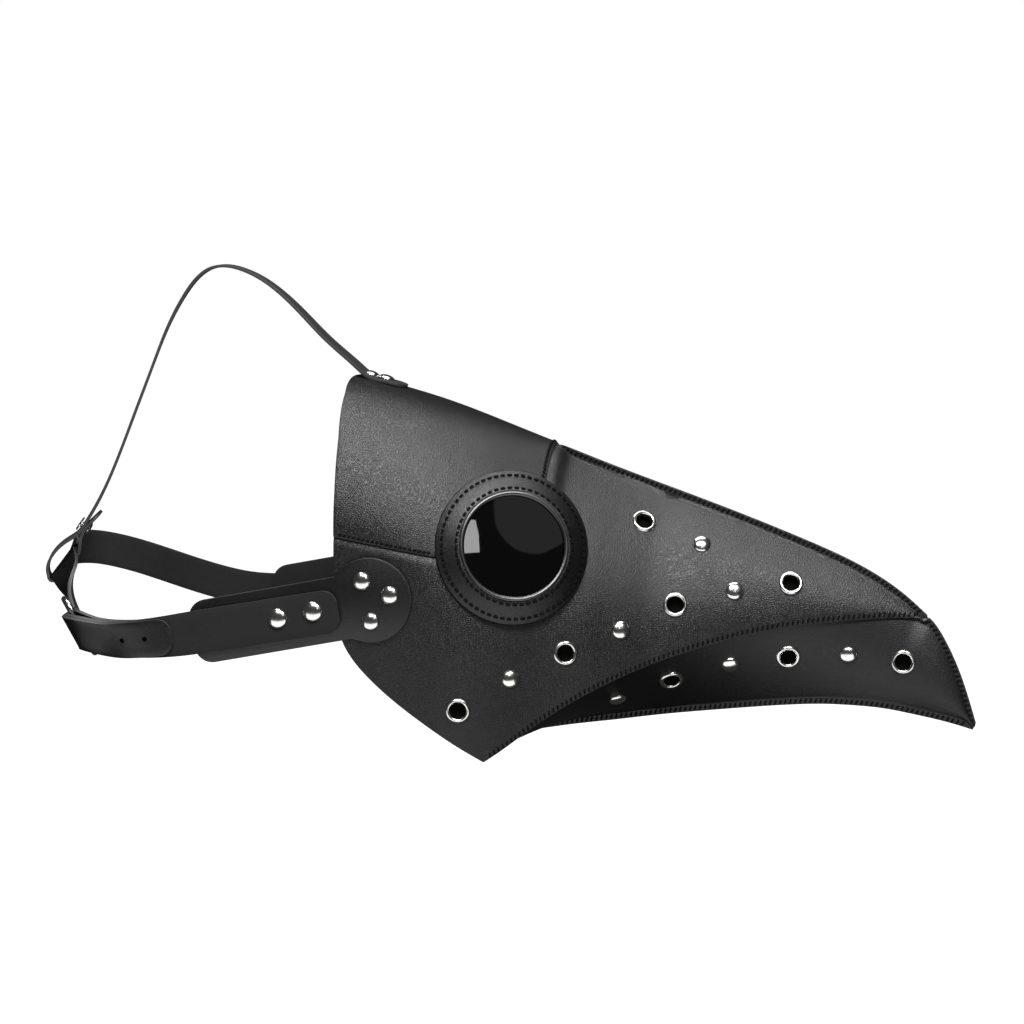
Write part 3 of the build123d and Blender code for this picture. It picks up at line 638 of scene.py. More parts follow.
def side_swell(x, z):
    """Soft hollows and folds of the side panel round the eye and along the beak, in mm."""
    swell = 0.0
    for cx, cz, wide, high, tall, slope in SWELLS:
        u = (x - cx) * cos(slope) + (z - cz) * sin(slope)
        v = -(x - cx) * sin(slope) + (z - cz) * cos(slope)
        swell += tall * np.exp(-((u / wide) ** 2) - (v / high) ** 2)
    return float(swell)


def flank_normal(x, z):
    """Outward normal of the left flank at (x, z)."""
    step = 0.8
    slope_x = (flank_at(x + step, z) - flank_at(x - step, z)) / (2 * step)
    slope_z = (flank_at(x, z + step) - flank_at(x, z - step)) / (2 * step)
    return Vector((-slope_x, 1, -slope_z)).normalized()


def side_skin_point(s, t):
    """Side panel's outer face with its folds, and pressed in under the forehead panel."""
    x, y, z = side_point(s, t)
    if t < FIN_ROWS and x > 100:
        return x, y, z
    moved = Vector((x, y, z)) + flank_normal(x, z) * (side_tuck(x, z) + side_swell(x, z))
    return moved.x, max(moved.y, 0.8), moved.z


def push_out(obj, amount):
    """Moves each vertex along its normal by amount(x, z) millimetres."""
    normals = [vertex.normal.copy() for vertex in obj.data.vertices]
    for vertex, normal in zip(obj.data.vertices, normals):
        vertex.co += normal * amount(vertex.co.x / MM, vertex.co.z / MM) * MM


def skin(obj):
    """Search tree of a panel's outer face, for laying trim and thread on it."""
    bpy.context.view_layer.update()
    return BVHTree.FromObject(obj, bpy.context.evaluated_depsgraph_get())


def on_skin(key, start, direction):
    """Point and outward normal (metres) where a ray from start (mm) meets a panel."""
    hit, normal, _, _ = SKIN[key].ray_cast(Vector(start) * MM, Vector(direction).normalized())
    if hit is None:
        raise RuntimeError("No leather of %s under %s" % (key, tuple(start)))
    return hit, normal if normal.dot(Vector(direction)) < 0 else -normal


def seat(key, x, z, side):
    """Matrix on a panel at (x, z) as seen from the side, Z outwards."""
    hit, normal = on_skin(key, (x, side * 160, z), (0, -side, 0))
    around = SKIN[key].find_nearest_range(hit, 5 * MM)
    total = Vector((0, 0, 0))
    for _, n, _, _ in around:
        total += n if n.dot(normal) > 0 else -n
    return plane(hit / MM, total if total.length else normal)


def build_side_panel(name, side):
    panel = sheet_grid("Side_panel_" + name, 170, 70, mirrored(side_skin_point, side))
    orient(panel, (0, side, 0))
    SKIN["side", side] = skin(panel)
    thicken(panel, bpy.context.scene.mask_look.leather_thickness, faced("panel"))
    cuts = [(seat(("side", side), x, z, side), 4.3) for x, z in SIDE_EYELETS]
    cuts.append((eye_seat(side), 26.4))
    cut_round(panel, cuts)
    add_piece(panel, "mask", "panel_leather", "side_panel_" + name)


def orient(obj, outward_direction):
    """Turns a sheet's normals to the side of the given direction."""
    total = Vector((0, 0, 0))
    for polygon in obj.data.polygons:
        total += polygon.normal * polygon.area
    if total.dot(Vector(outward_direction)) < 0:
        edit_all(obj)
        bpy.ops.mesh.flip_normals()
        bpy.ops.object.mode_set(mode="OBJECT")
    obj.data.update()


def eye_seat(side):
    """Matrix of the eyepiece, Z outwards."""
    width = flank_at(*EYE)
    return plane((EYE[0], side * width, EYE[1]), (EYE_NORMAL[0], side * EYE_NORMAL[1], EYE_NORMAL[2]))


def forehead_point(s, q):
    """Forehead panel: s from the back edge to its front edge, q across from brow to brow."""
    across = 2 * q - 1
    x = BROW_X * s
    ridge, half, seam, square, sharp = station(x)
    low = (ridge - brow_z(x)) / (ridge - seam)
    drop = low * abs(across) ** 2
    width, z = flank(x, drop)
    width -= sqrt(max((FIN_HALF * ease((x - 96) / 8)) ** 2, 0))
    x += back_edge(z) * (1 - s) ** 3
    return x, width * (1 if across > 0 else -1), z


def build_forehead_panel():
    panel = sheet_grid("Forehead_panel", 60, 121, forehead_point)
    orient(panel, (0, 0, 1))
    push_out(panel, lambda x, z: 0.35)
    SKIN["forehead"] = skin(panel)
    thicken(panel, 1.3, faced("panel"))
    cuts = [(eye_seat(side), 27.0) for _, side in SIDES]
    cut_round(panel, cuts)
    add_piece(panel, "mask", "panel_leather", "forehead_panel")


def build_lower_panel(name, side):
    place = mirrored(lambda s, t: lower_point(s * 0.988, t), side)
    panel = sheet_grid("Lower_panel_" + name, 150, 44, place)
    orient(panel, (0, side, 0))
    SKIN["lower", side] = skin(panel)
    thicken(panel, bpy.context.scene.mask_look.leather_thickness, faced("lower"), edge=0.25)
    cut_round(panel, [(seat(("lower", side), x, z, side), 4.3) for x, z in LOWER_EYELETS])
    add_piece(panel, "mask", "panel_leather", "lower_panel_" + name)


# ---- Eyepieces, eyelets and rivets -----------------------------------------------------------
def build_eyepiece(name, side):
    matrix = eye_seat(side)
    outline = [
        (26.3, -12), (37.5, -12), (37.5, 1.5), (37.2, 2.3), (36.4, 2.8), (33.4, 4.5), (30.4, 6.0),
        (28.2, 7.0), (27.2, 7.4), (26.6, 7.3), (26.3, 6.9),
    ]
    ring = turned("Eye_ring_" + name, outline, steps=128, matrices=(matrix,))
    inverse = matrix.inverted()
    down = -(matrix.to_3x3() @ Vector((0, 0, 1)))
    for vertex in ring.data.vertices:
        if (inverse @ vertex.co).z < -8 * MM:
            start = vertex.co - down * 45 * MM
            hits = [SKIN[key].ray_cast(start, down)[0] for key in (("side", side), "forehead")]
            depths = [(hit - start).length for hit in hits if hit is not None]
            vertex.co = start + down * ((min(depths) if depths else 0.045) + 0.3 * MM)
    ring.data.materials.append(MATERIALS["ring"])
    round_edges(ring, 0.3)
    smooth(ring, 35)
    add_piece(ring, "mask", "ring_leather", "eye_ring_" + name)

    # Nickel rim round the lens, in the darkened nickel: painted shade in the step between the ring and the
    # lens.
    rim = [
        (25.05, -7), (26.15, -7), (26.15, 7.5), (26.5, 7.7), (26.5, 8.1), (26.0, 8.4), (25.2, 8.3),
        (24.6, 7.8), (24.6, 7.2), (25.05, 7.1),
    ]
    bezel = turned("Lens_bezel_" + name, rim, steps=128, matrices=(matrix,))
    bezel.data.materials.append(MATERIALS["rim"])
    smooth(bezel, 50)
    add_piece(bezel, "mask", "bright_nickel", "lens_bezel_" + name)

    face = [(0, 5.1), (24.9, 5.1), (24.9, 6.3), (24.3, 6.8), (18, 7.3), (12, 7.6), (6, 7.8), (0, 7.9)]
    lens = turned("Lens_" + name, face, steps=96, matrices=(matrix,), closed=False)
    lens.data.materials.append(MATERIALS["lens"])
    smooth(lens, 30)
    add_piece(lens, "mask", "smoked_lens", "lens_" + name)

    seat_ring = [(22.5, 2), (24.9, 2), (24.9, 5), (22.5, 5)]
    retainer = turned("Lens_retainer_" + name, seat_ring, steps=96, matrices=(matrix,))
    retainer.data.materials.append(MATERIALS["bezel"])
    smooth(retainer)
    add_piece(retainer, "mask", "black_plastic", "lens_retainer_" + name)


EYELET = [
    (4.0, -3.6), (4.0, 0.5), (4.2, 0.95), (4.7, 1.2), (5.3, 1.15), (5.8, 0.75), (6.0, 0.25), (6.0, -0.4),
    (4.7, -0.3), (4.7, -3.2), (5.9, -3.4), (5.9, -3.9), (5.0, -4.1), (4.3, -4.0),
]


def dome(radius, rise, under, back=None):
    """Outline of a domed cap on the leather, with its shank and back cap under it."""
    face = [(radius * sin(pi / 2 * k / 7), rise * cos(pi / 2 * k / 7) + 0.15) for k in range(8)]
    back = back or radius - 0.5
    return face + [
        (radius - 0.15, -0.35), (1.6, -0.3), (1.6, -under), (back, -under), (back + 0.05, -under - 0.5),
        (back - 0.5, -under - 0.9), (0, -under - 1.0),
    ]


def place_group(label, outline, matrices, slot, node, steps=48, material="nickel"):
    group = turned(label, outline, steps=steps, matrices=matrices, closed=outline[0][0] > 0)
    group.data.materials.append(MATERIALS[material])
    smooth(group, 45)
    add_piece(group, "mask", slot, node)


def build_panel_trim(name, side):
    rows = [
        ("side_eyelets_", EYELET, "side", SIDE_EYELETS),
        ("side_rivets_", dome(4.5, 2.1, 2.0), "side", SIDE_RIVETS),
        ("lower_eyelets_", EYELET, "lower", LOWER_EYELETS),
        ("lower_rivets_", dome(4.5, 2.1, 2.0), "lower", LOWER_RIVETS),
    ]
    for label, outline, part, points in rows:
        matrices = [seat((part, side), x, z, side) for x, z in points]
        place_group(label.capitalize() + name, outline, matrices, "bright_nickel", label + name)
    # Black gauze discs under every eyelet: painted shade that keeps the holes dark.
    matrices = [seat(("side", side), x, z, side) for x, z in SIDE_EYELETS]
    matrices += [seat(("lower", side), x, z, side) for x, z in LOWER_EYELETS]
    disc = [(0, -4.2), (5.4, -4.2), (5.4, -4.6), (0, -4.6)]
    discs = turned("Hole_shade_discs_" + name, disc, steps=32, matrices=matrices, closed=False)
    discs.data.materials.append(MATERIALS["gauze"])
    smooth(discs)
    add_piece(discs, "mask", "black_gauze", "gauze_discs_" + name)


# ---- Cheek patches and straps ----------------------------------------------------------------
STRAP = 1.8
STRAP_MID = 78.1
PATCH_FACE, STRAP_FACE = 77.1, 79.0  # outer faces over the cheek, from the mirror plane
STRAP_START = (2.4, -31.0)
STRAP_SLOPE = radians(10)
BACKWARD = np.array([-cos(STRAP_SLOPE), 0, -sin(STRAP_SLOPE)])
LEAN = 28.0  # degrees the straps lean outwards at the buckle
FOLD = 2.73  # radius of the fold round the heel bar, to the middle of the leather
PITCH = 1.9  # between the middles of two layers
NEAR_FLAT, FAR_FLAT = 72, 52  # riveted stretches of the short and the long strap
NEAR_WIDTH, STRAP_WIDTH = 21, 18
HOLE = 1.3  # radius of a punched hole


def travel(heading, rise):
    level = cos(radians(rise))
    return np.array([level * cos(radians(heading)), level * sin(radians(heading)), sin(radians(rise))])


def section(point, tangent, lean):
    """(origin, outwards, upwards, along) of a strap's cross-section."""
    outward = np.cross([0, 0, 1], tangent)
    outward /= np.linalg.norm(outward)
    upward = np.cross(tangent, outward)
    turned_out = outward * cos(radians(lean)) - upward * sin(radians(lean))
    return np.array(point, float), turned_out, np.cross(tangent, turned_out), np.array(tangent, float)


HEEL = section((-131.5, -66, -44), travel(112, -5), LEAN)


def in_buckle(reach, height):
    return tuple(HEEL[0] + HEEL[3] * reach + HEEL[1] * height)


def shifted(frame_at, amount):
    point, outward, upward, tangent = frame_at
    return point + outward * amount, outward, upward, tangent


def flat_run(side, length, count):
    """Sections of the riveted end, from the strap's tip to where it starts to bend."""
    start = np.array([STRAP_START[0], side * STRAP_MID, STRAP_START[1]])
    tangent = BACKWARD if side < 0 else -BACKWARD
    return [section(start + BACKWARD * length * share, tangent, 0) for share in ends_dense(count)]


def ends_dense(count):
    """Shares from 0 to 1, closer together near 0."""
    return [(i / (count - 1)) ** 1.7 for i in range(count)]


NEAR_START = np.array([STRAP_START[0], -STRAP_MID, STRAP_START[1]]) + BACKWARD * NEAR_FLAT
FAR_START = np.array([STRAP_START[0], STRAP_MID, STRAP_START[1]]) + BACKWARD * FAR_FLAT
NEAR = Curve(
    [
        NEAR_START, (-87, -STRAP_MID, -46.4), (-104, -77.6, -47.8), (-118, -75.2, -47.2),
        in_buckle(-7, FOLD + 0.1), in_buckle(0, FOLD),
    ],
    first=BACKWARD, last=HEEL[3],
)
FAR = Curve(
    [
        FAR_START, (-68, STRAP_MID, -41.6), (-84, STRAP_MID, -41.2), (-104, STRAP_MID, -37.6),
        (-124, STRAP_MID, -32), (-144, STRAP_MID, -26), (-158, 77.2, -22.4), (-168, 72.5, -20),
        (-173.5, 62, -18.6), (-173, 45, -18), (-168.5, 25, -18), (-164, 8, -18), (-161, -6, -19.6),
        (-154, -18, -27), (-148, -28, -37.6), in_buckle(31, -1.8), in_buckle(24, -2.8), in_buckle(17, -1.6),
        in_buckle(7, 3.63), in_buckle(2, 4.63), in_buckle(-3, 4.73),
    ],
    first=BACKWARD, last=-HEEL[3],
)
FAR_LEAN = [(0, 0), (0.38, 0), (0.55, -15), (0.65, -36), (0.72, -38), (0.84, LEAN), (1, LEAN)]


def near_section(u):
    return section(NEAR.at(u), NEAR.tangent(u), LEAN * ease((u - 0.25) / 0.6))


def far_section(u):
    lean = FAR_LEAN[-1][1]
    for (low, first), (high, last) in zip(FAR_LEAN, FAR_LEAN[1:]):
        if u <= high:
            lean = first + (last - first) * ease((u - low) / (high - low))
            break
    return section(FAR.at(u), -FAR.tangent(u), lean)


def ribbon(name, sections, widths, thickness, material, edge=0.3):
    """Flat strap through its cross-sections, with rolled edges."""
    rows = 7

    def place(s, t):
        origin, _, upward, _ = sections[round(s * (len(sections) - 1))]
        return origin + upward * (t - 0.5) * widths[round(s * (len(sections) - 1))]

    strap = sheet_grid(name, len(sections), rows, place)
    thicken(strap, thickness, faced(material, "edge_dark"), edge=edge, offset=0)
    return strap


def tip_width(distance, width, corner):
    """Width of a strap at a distance from its end with rounded corners."""
    if distance >= corner:
        return width
    return width - 2 * corner + 2 * sqrt(max(corner**2 - (corner - distance) ** 2, 0.04))


def build_short_strap():
    flat = flat_run(-1, NEAR_FLAT, 40)
    widths = [tip_width(NEAR_FLAT * share, NEAR_WIDTH, 7) for share in ends_dense(40)]
    outer = [near_section(i / 60) for i in range(1, 61)]
    widths += [NEAR_WIDTH + (STRAP_WIDTH - NEAR_WIDTH) * ease(i / 60 * 1.6) for i in range(1, 61)]
    fold = []
    for k in range(1, 19):
        angle = radians(90 - 10 * k)
        radial = HEEL[3] * cos(angle) + HEEL[1] * sin(angle)
        tangent = HEEL[3] * sin(angle) - HEEL[1] * cos(angle)
        fold.append((HEEL[0] + radial * FOLD, radial, HEEL[2], tangent))
    inner = []
    for i in range(59, 22, -1):
        u = i / 60
        depth = PITCH + (2 * FOLD - PITCH) * ease((u - 0.72) / 0.26)
        inner.append(shifted(near_section(u), -depth))
    widths += [STRAP_WIDTH] * (len(fold) + len(inner))
    strap = ribbon("Short_strap", flat + outer + fold + inner, widths, STRAP, "strap")
    bpy.ops.mesh.primitive_cube_add(size=1)
    cutter = bpy.context.object
    matrix = Matrix([HEEL[3], HEEL[1], HEEL[2]]).transposed().to_4x4()
    matrix.translation = Vector(HEEL[0] + HEEL[3]) * MM
    cutter.data.transform(matrix @ Matrix.Diagonal((2 * (FOLD + 3) * MM, 12 * MM, 4.4 * MM, 1)))
    subtract(strap, cutter, own_folds=True)
    add_piece(strap, "mask", "strap_leather", "short_strap")


def hole_matrix(frame_at):
    return plane(frame_at[0], frame_at[1])


TAIL_LIFT = 2.0  # of the tail's middle above the short strap's
PRONG_HOLE = (9.5, 12)  # the two ends of the prong's slot, back from the strap's last bend


def build_long_strap():
    flat = flat_run(1, FAR_FLAT, 32)
    widths = [tip_width(FAR_FLAT * share, STRAP_WIDTH, 6) for share in ends_dense(32)]
    run = [far_section(i / 260) for i in range(1, 261)]
    tail_from, tail_to = 15 / 16, 2.7 / 16
    shares = [1 - (1 - i / 54) ** 1.6 for i in range(55)]
    tail = [shifted(near_section(tail_from + (tail_to - tail_from) * share), TAIL_LIFT) for share in shares]
    tail_length = NEAR.length * (tail_from - tail_to)
    widths += [STRAP_WIDTH] * len(run)
    widths += [tip_width(tail_length * (1 - share), STRAP_WIDTH, 7) for share in shares]
    strap = ribbon("Long_strap", flat + run + tail, widths, STRAP, "strap")
    total = FAR.length
    holes = [(hole_matrix(far_section((total - 15 - place * 12) / total)), HOLE) for place in range(2, 10)]
    holes += [(hole_matrix(shifted(near_section(u), TAIL_LIFT)), HOLE) for u in (0.36, 0.52)]
    cut_round(strap, holes, depth=3)
    for back in PRONG_HOLE:
        cut_round(strap, [(hole_matrix(far_section((total - back) / total)), 1.7)], depth=12)
    add_piece(strap, "mask", "strap_leather", "long_strap")


def subtract(obj, cutter, own_folds=False):
    select_only(obj)
    modifier = obj.modifiers.new("Cut", "BOOLEAN")
    modifier.object = cutter
    modifier.operation = "DIFFERENCE"
    modifier.solver = "EXACT"
    modifier.use_self = own_folds
    bpy.ops.object.modifier_apply(modifier=modifier.name)
    bpy.data.objects.remove(cutter)


def build_cheek_patch(name, side):
    """Thick patch: a round head towards the eye and a sloping tab towards the back."""
    slope = radians(10.9)
    outline = []
    head, radius = np.array([17.5, -26.0]), 20.5
    tab, half_long, half_wide, corner = np.array([-33.0, -37.2]), 39.0, 15.5, 9.0
    axis, across = np.array([cos(slope), sin(slope)]), np.array([-sin(slope), cos(slope)])

    def meeting(sign):
        """Turn round the head at which the tab's edge on that side runs into it."""
        off = (tab + across * half_wide * sign - head).dot(across)
        return np.arctan2(off, -sqrt(radius**2 - off**2))

    top_turn, low_turn = meeting(1), meeting(-1)
    for k in range(49):
        turn = top_turn + (low_turn - top_turn) * k / 48
        outline.append(head + radius * (axis * cos(turn) + across * sin(turn)))
    for sign in (-1, 1):
        centre = tab - axis * (half_long - corner) + across * sign * (half_wide - corner)
        for k in range(9):
            turn = radians(90) * k / 8
            if sign < 0:
                direction = -axis * sin(turn) - across * cos(turn)
            else:
                direction = -axis * cos(turn) + across * sin(turn)
            outline.append(centre + corner * direction)
    vertices = [(x * MM, side * PATCH_FACE * MM, z * MM) for x, z in outline]
    patch = mesh_object("Cheek_patch_" + name, vertices, [], [tuple(range(len(vertices)))])
    orient(patch, (0, side, 0))
    thicken(patch, 2.0, faced("strap", "edge_dark"), edge=0.5)
    add_piece(patch, "mask", "strap_leather", "cheek_patch_" + name)
    rows = [
        ("patch_rivets_", PATCH_RIVETS, PATCH_FACE, dome(4.5, 2.1, 4.2)),
        ("strap_rivets_", STRAP_RIVETS, STRAP_FACE, dome(5.0, 2.2, 3.9)),
    ]
    for label, points, level, profile in rows:
        matrices = [plane((x, side * level, z), (0, side, 0)) for x, z in points]
        place_group(label.capitalize() + name, profile, matrices, "bright_nickel", label + name)


def tube(name, points, radius, closed, sides=20):
    """Round bar along points in mm."""
    points = [np.array(p, float) for p in points]
    count = len(points)
    vertices, faces = [], []
    side_way = HEEL[1]
    for i, point in enumerate(points):
        before = points[i - 1] if closed or i else points[0]
        after = points[(i + 1) % count] if closed or i < count - 1 else points[-1]
        along = (after - before) / np.linalg.norm(after - before)
        first = side_way - along * side_way.dot(along)
        first /= np.linalg.norm(first)
        second = np.cross(along, first)
        size = radius[i] if isinstance(radius, list) else radius
        for k in range(sides):
            turn = 2 * pi * k / sides
            vertices.append(tuple((point + (first * cos(turn) + second * sin(turn)) * size) * MM))
    for i in range(count if closed else count - 1):
        for k in range(sides):
            a, b = i * sides + k, i * sides + (k + 1) % sides
            c, d = ((i + 1) % count) * sides + (k + 1) % sides, ((i + 1) % count) * sides + k
            faces.append((a, b, c, d))
    if not closed:
        faces.append(tuple(reversed(range(sides))))
        faces.append(tuple((count - 1) * sides + k for k in range(sides)))
    obj = mesh_object(name, vertices, [], faces)
    outward(obj)
    obj.data.materials.append(MATERIALS["nickel"])
    smooth(obj, 50)
    return obj


def build_buckle():
    rail, reach, half, corner = [], 24.0, 15.0, 6.0
    near, far, out = corner, reach - corner, half - corner
    for cx, cy, start in ((far, out, 0), (near, out, 90), (near, -out, 180), (far, -out, 270)):
        for k in range(9):
            turn = radians(start + 90 * k / 8)
            rail.append(HEEL[0] + HEEL[3] * (cx + corner * cos(turn)) + HEEL[2] * (cy + corner * sin(turn)))
    frame_bar = tube("Buckle_frame", rail, 1.5, True)
    add_piece(frame_bar, "buckle_frame", "bright_nickel", "buckle_frame")
    rod = [in_buckle(1.98 + (26.2 - 1.98) * k / 8, 0.9 + (3.15 - 0.9) * k / 8) for k in range(9)]
    eye = [(1.6, -1.6), (2.78, -1.6), (2.78, 1.6), (1.6, 1.6)]
    prong_eye = turned("Prong_eye", eye, steps=48, matrices=(plane(HEEL[0], HEEL[2]),))
    round_edges(prong_eye, 0.4, segments=3)
    prong_eye.data.materials.append(MATERIALS["nickel"])
    smooth(prong_eye, 50)
    tip = [in_buckle(26.9, 3.2), in_buckle(27.25, 3.22)]
    prong_rod = tube("Prong_rod", rod + tip, [1.1] * 9 + [0.8, 0.35], False)
    select_only(prong_rod, prong_eye)
    bpy.ops.object.join()
    prong = finish_object(bpy.context.view_layer.objects.active, "Buckle_prong")
    add_piece(prong, "buckle_prong", "bright_nickel", "buckle_prong")


# ---- Top strap -------------------------------------------------------------------------------
CROWN = [
    (-6.5, 82.9), (-13.2, 88.6), (-23.5, 97.6), (-33.8, 108), (-44.2, 117.8), (-54.6, 125.5), (-65, 130.5),
    (-75.4, 132.6), (-83, 131.2), (-88.8, 127.4), (-96.8, 117.6), (-105.3, 102.6), (-114, 82.1),
    (-123.3, 59.1), (-131.6, 38.5), (-141, 17.7), (-146.8, 7.3), (-151.2, 0.5), (-155.2, -4.4), (-161, -8.4),
    (-167.2, -13.6), (-171, -19.5), (-171.6, -25), (-168.8, -28.6), (-164.6, -26.6), (-158.8, -20.4),
    (-154.6, -13.8), (-153.6, -7.6), (-152.2, -3.8), (-149.8, -0.4), (-146.6, 2.8), (-143, 6.2),
]
TOP_RIVETS = [8.4, 0.6]
TOP_TILT = (sin(radians(17.5)), 0, cos(radians(17.5)))


def build_top_strap():
    seats = [on_skin("forehead", (x, 0, 160), (0, 0, -1))[0].z / MM for x in (19, 8.4, 0.6)]
    line = [(x, 0, z + 0.9) for x, z in zip((19, 8.4, 0.6), seats)] + [(x, 0, z) for x, z in CROWN]
    crown = Curve(line)
    sections, widths = [], []
    count = 240
    shares = [(i / 40) ** 1.5 * 0.06 for i in range(40)] + [0.06 + 0.94 * i / count for i in range(count + 1)]
    for u in shares:
        twist = radians(17 * ease(u * 1.8))
        tangent = crown.tangent(u)
        across = np.array([-sin(twist), cos(twist), 0])
        across = across - tangent * across.dot(tangent)
        across /= np.linalg.norm(across)
        sections.append((crown.at(u), np.cross(across, tangent), across, tangent))
        widths.append(min(tip_width(u * crown.length, 15, 7.4), tip_width((1 - u) * crown.length, 15, 4)))
    strap = ribbon("Top_strap", sections, widths, 1.5, "strap", edge=0.25)
    add_piece(strap, "mask", "strap_leather", "top_strap")
    matrices = [plane((x, 0, z + 1.8), TOP_TILT) for x, z in zip(TOP_RIVETS, seats[1:])]
    place_group("Top_rivets", dome(4.1, 1.9, 5.0), matrices, "bright_nickel", "top_rivets")
    u = 0.768
    point, tangent = crown.at(u), crown.tangent(u)
    twist = radians(17)
    across = np.array([-sin(twist), cos(twist), 0])
    normal = np.cross(tangent, across)
    pin = plane(point + normal * 2.8, normal)
    place_group("Loop_rivet", dome(3.8, 1.2, 4.4, back=3.8), [pin], "bright_nickel", "loop_rivet")


# ---- Thread ----------------------------------------------------------------------------------
def stitch_on(name, key, guides, length=2.5, pitch=3.6, radius=0.36, slant=0.0):
    """Stitches laid on a panel under guide rays of (start, direction) in mm."""
    points, normals = [], []
    for start, direction in guides:
        hit, normal = on_skin(key, start, direction)
        points.append(tuple(hit / MM))
        normals.append(tuple(normal))
    return stitch_row(name, points, normals, length, pitch, radius, MATERIALS["thread"], slant)


WHIP = radians(68)


def build_stitches(name, side):
    look = bpy.context.scene.mask_look
    pitch, radius = look.stitch_pitch, look.thread_radius
    rows = []

    def whip(label, points):
        """Slanting stitches over a free edge of two panels, seen from one side."""
        facing = [(0, side, 0)] * len(points)
        row = stitch_row(label + name, points, facing, 2.5, pitch, radius, MATERIALS["thread"], side * WHIP)
        rows.append(row)

    fin_x = np.linspace(97, 276, 90)
    ridge = [(x, side * (FIN_HALF + 0.05), station(x)[0] - 1.5) for x in fin_x]
    whip("Ridge_thread_", ridge)
    seam = []
    for x in np.linspace(74, 274, 130):
        seam.append(((x, side * 160, station(x)[2] + 1.7), (0, -side, 0)))
    rows.append(stitch_on("Seam_thread_" + name, ("side", side), seam, 2.5, pitch, radius, side * WHIP))
    low = [((x, side * 160, brow_z(x) + 1.5), (0, -side, 0)) for x in np.linspace(1.5, 47, 20)]
    rows.append(stitch_on("Brow_thread_" + name, "forehead", low, 1.7, 2.3, 0.55, side * WHIP / 2))
    front = []
    ridge_z = station(93)[0]
    for k in range(24):
        z = ridge_z - 0.5 - (ridge_z - 22) * k / 23
        if z < ridge_z - 7:
            front.append(((BROW_X - 1.6, side * 160, z), (0, -side, 0)))
        else:
            front.append(((BROW_X - 1.6, side * (k + 0.5) * 3.1, 160), (0, 0, -1)))
    rows.append(stitch_on("Front_thread_" + name, "forehead", front, 1.7, 2.3, 0.55, side * WHIP / 2))
    edge = []
    for s in np.linspace(0.02, 0.97, 100):
        x, z = KEEL_CURVE.at(s)
        edge.append((x, side * (FIN_HALF + 0.05), z + 1.6))
    whip("Keel_thread_", edge)
    nose = []
    for s in np.linspace(0.02, 0.96, 40):
        (x0, z0), (x1, z1) = FRONT_CURVE.at(max(s - 0.02, 0)), FRONT_CURVE.at(min(s + 0.02, 1))
        x, z = FRONT_CURVE.at(s)
        reach = sqrt((x1 - x0) ** 2 + (z1 - z0) ** 2)
        nose.append((x + (z1 - z0) / reach * 1.6, side * (FIN_HALF + 0.05), z - (x1 - x0) / reach * 1.6))
    whip("Nose_thread_", nose)
    matrix = eye_seat(side)
    for reach, height, label in ((34.9, 3.8, "Outer"), (28.3, 7.1, "Inner")):
        circle, normals = [], []
        for k in range(181):
            turn = 2 * pi * k / 180
            spot = Vector((reach * cos(turn), reach * sin(turn), height)) * MM
            circle.append(tuple(matrix @ spot / MM))
            normals.append(tuple(matrix.to_3x3() @ Vector((0, 0, 1))))
        label += "_eye_thread_" + name
        rows.append(stitch_row(label, circle, normals, 2.3, 3.3, 0.6, MATERIALS["thread"]))
    for row in rows:
        add_piece(row, "mask", None)


# ---- Studio ----------------------------------------------------------------------------------
# Places in metres: what the camera aims at, the near eyepiece, and the height of the floor.
AIM = (0.07235, 0.0, 0.01032)
EYE_PLACE = (0.083, -0.077, -0.0015)
FLOOR_Z = -0.45


def area_light(name, place, aim, size, power):
    data = bpy.data.lights.new(name, "AREA")
    data.shape = "RECTANGLE"
    data.size, data.size_y = size
    data.energy = power
    lamp = bpy.data.objects.new(name, data)
    bpy.context.collection.objects.link(lamp)
    lamp.location = place
    lamp.rotation_euler = (Vector(aim) - Vector(place)).to_track_quat("-Z", "Y").to_euler()
    return lamp


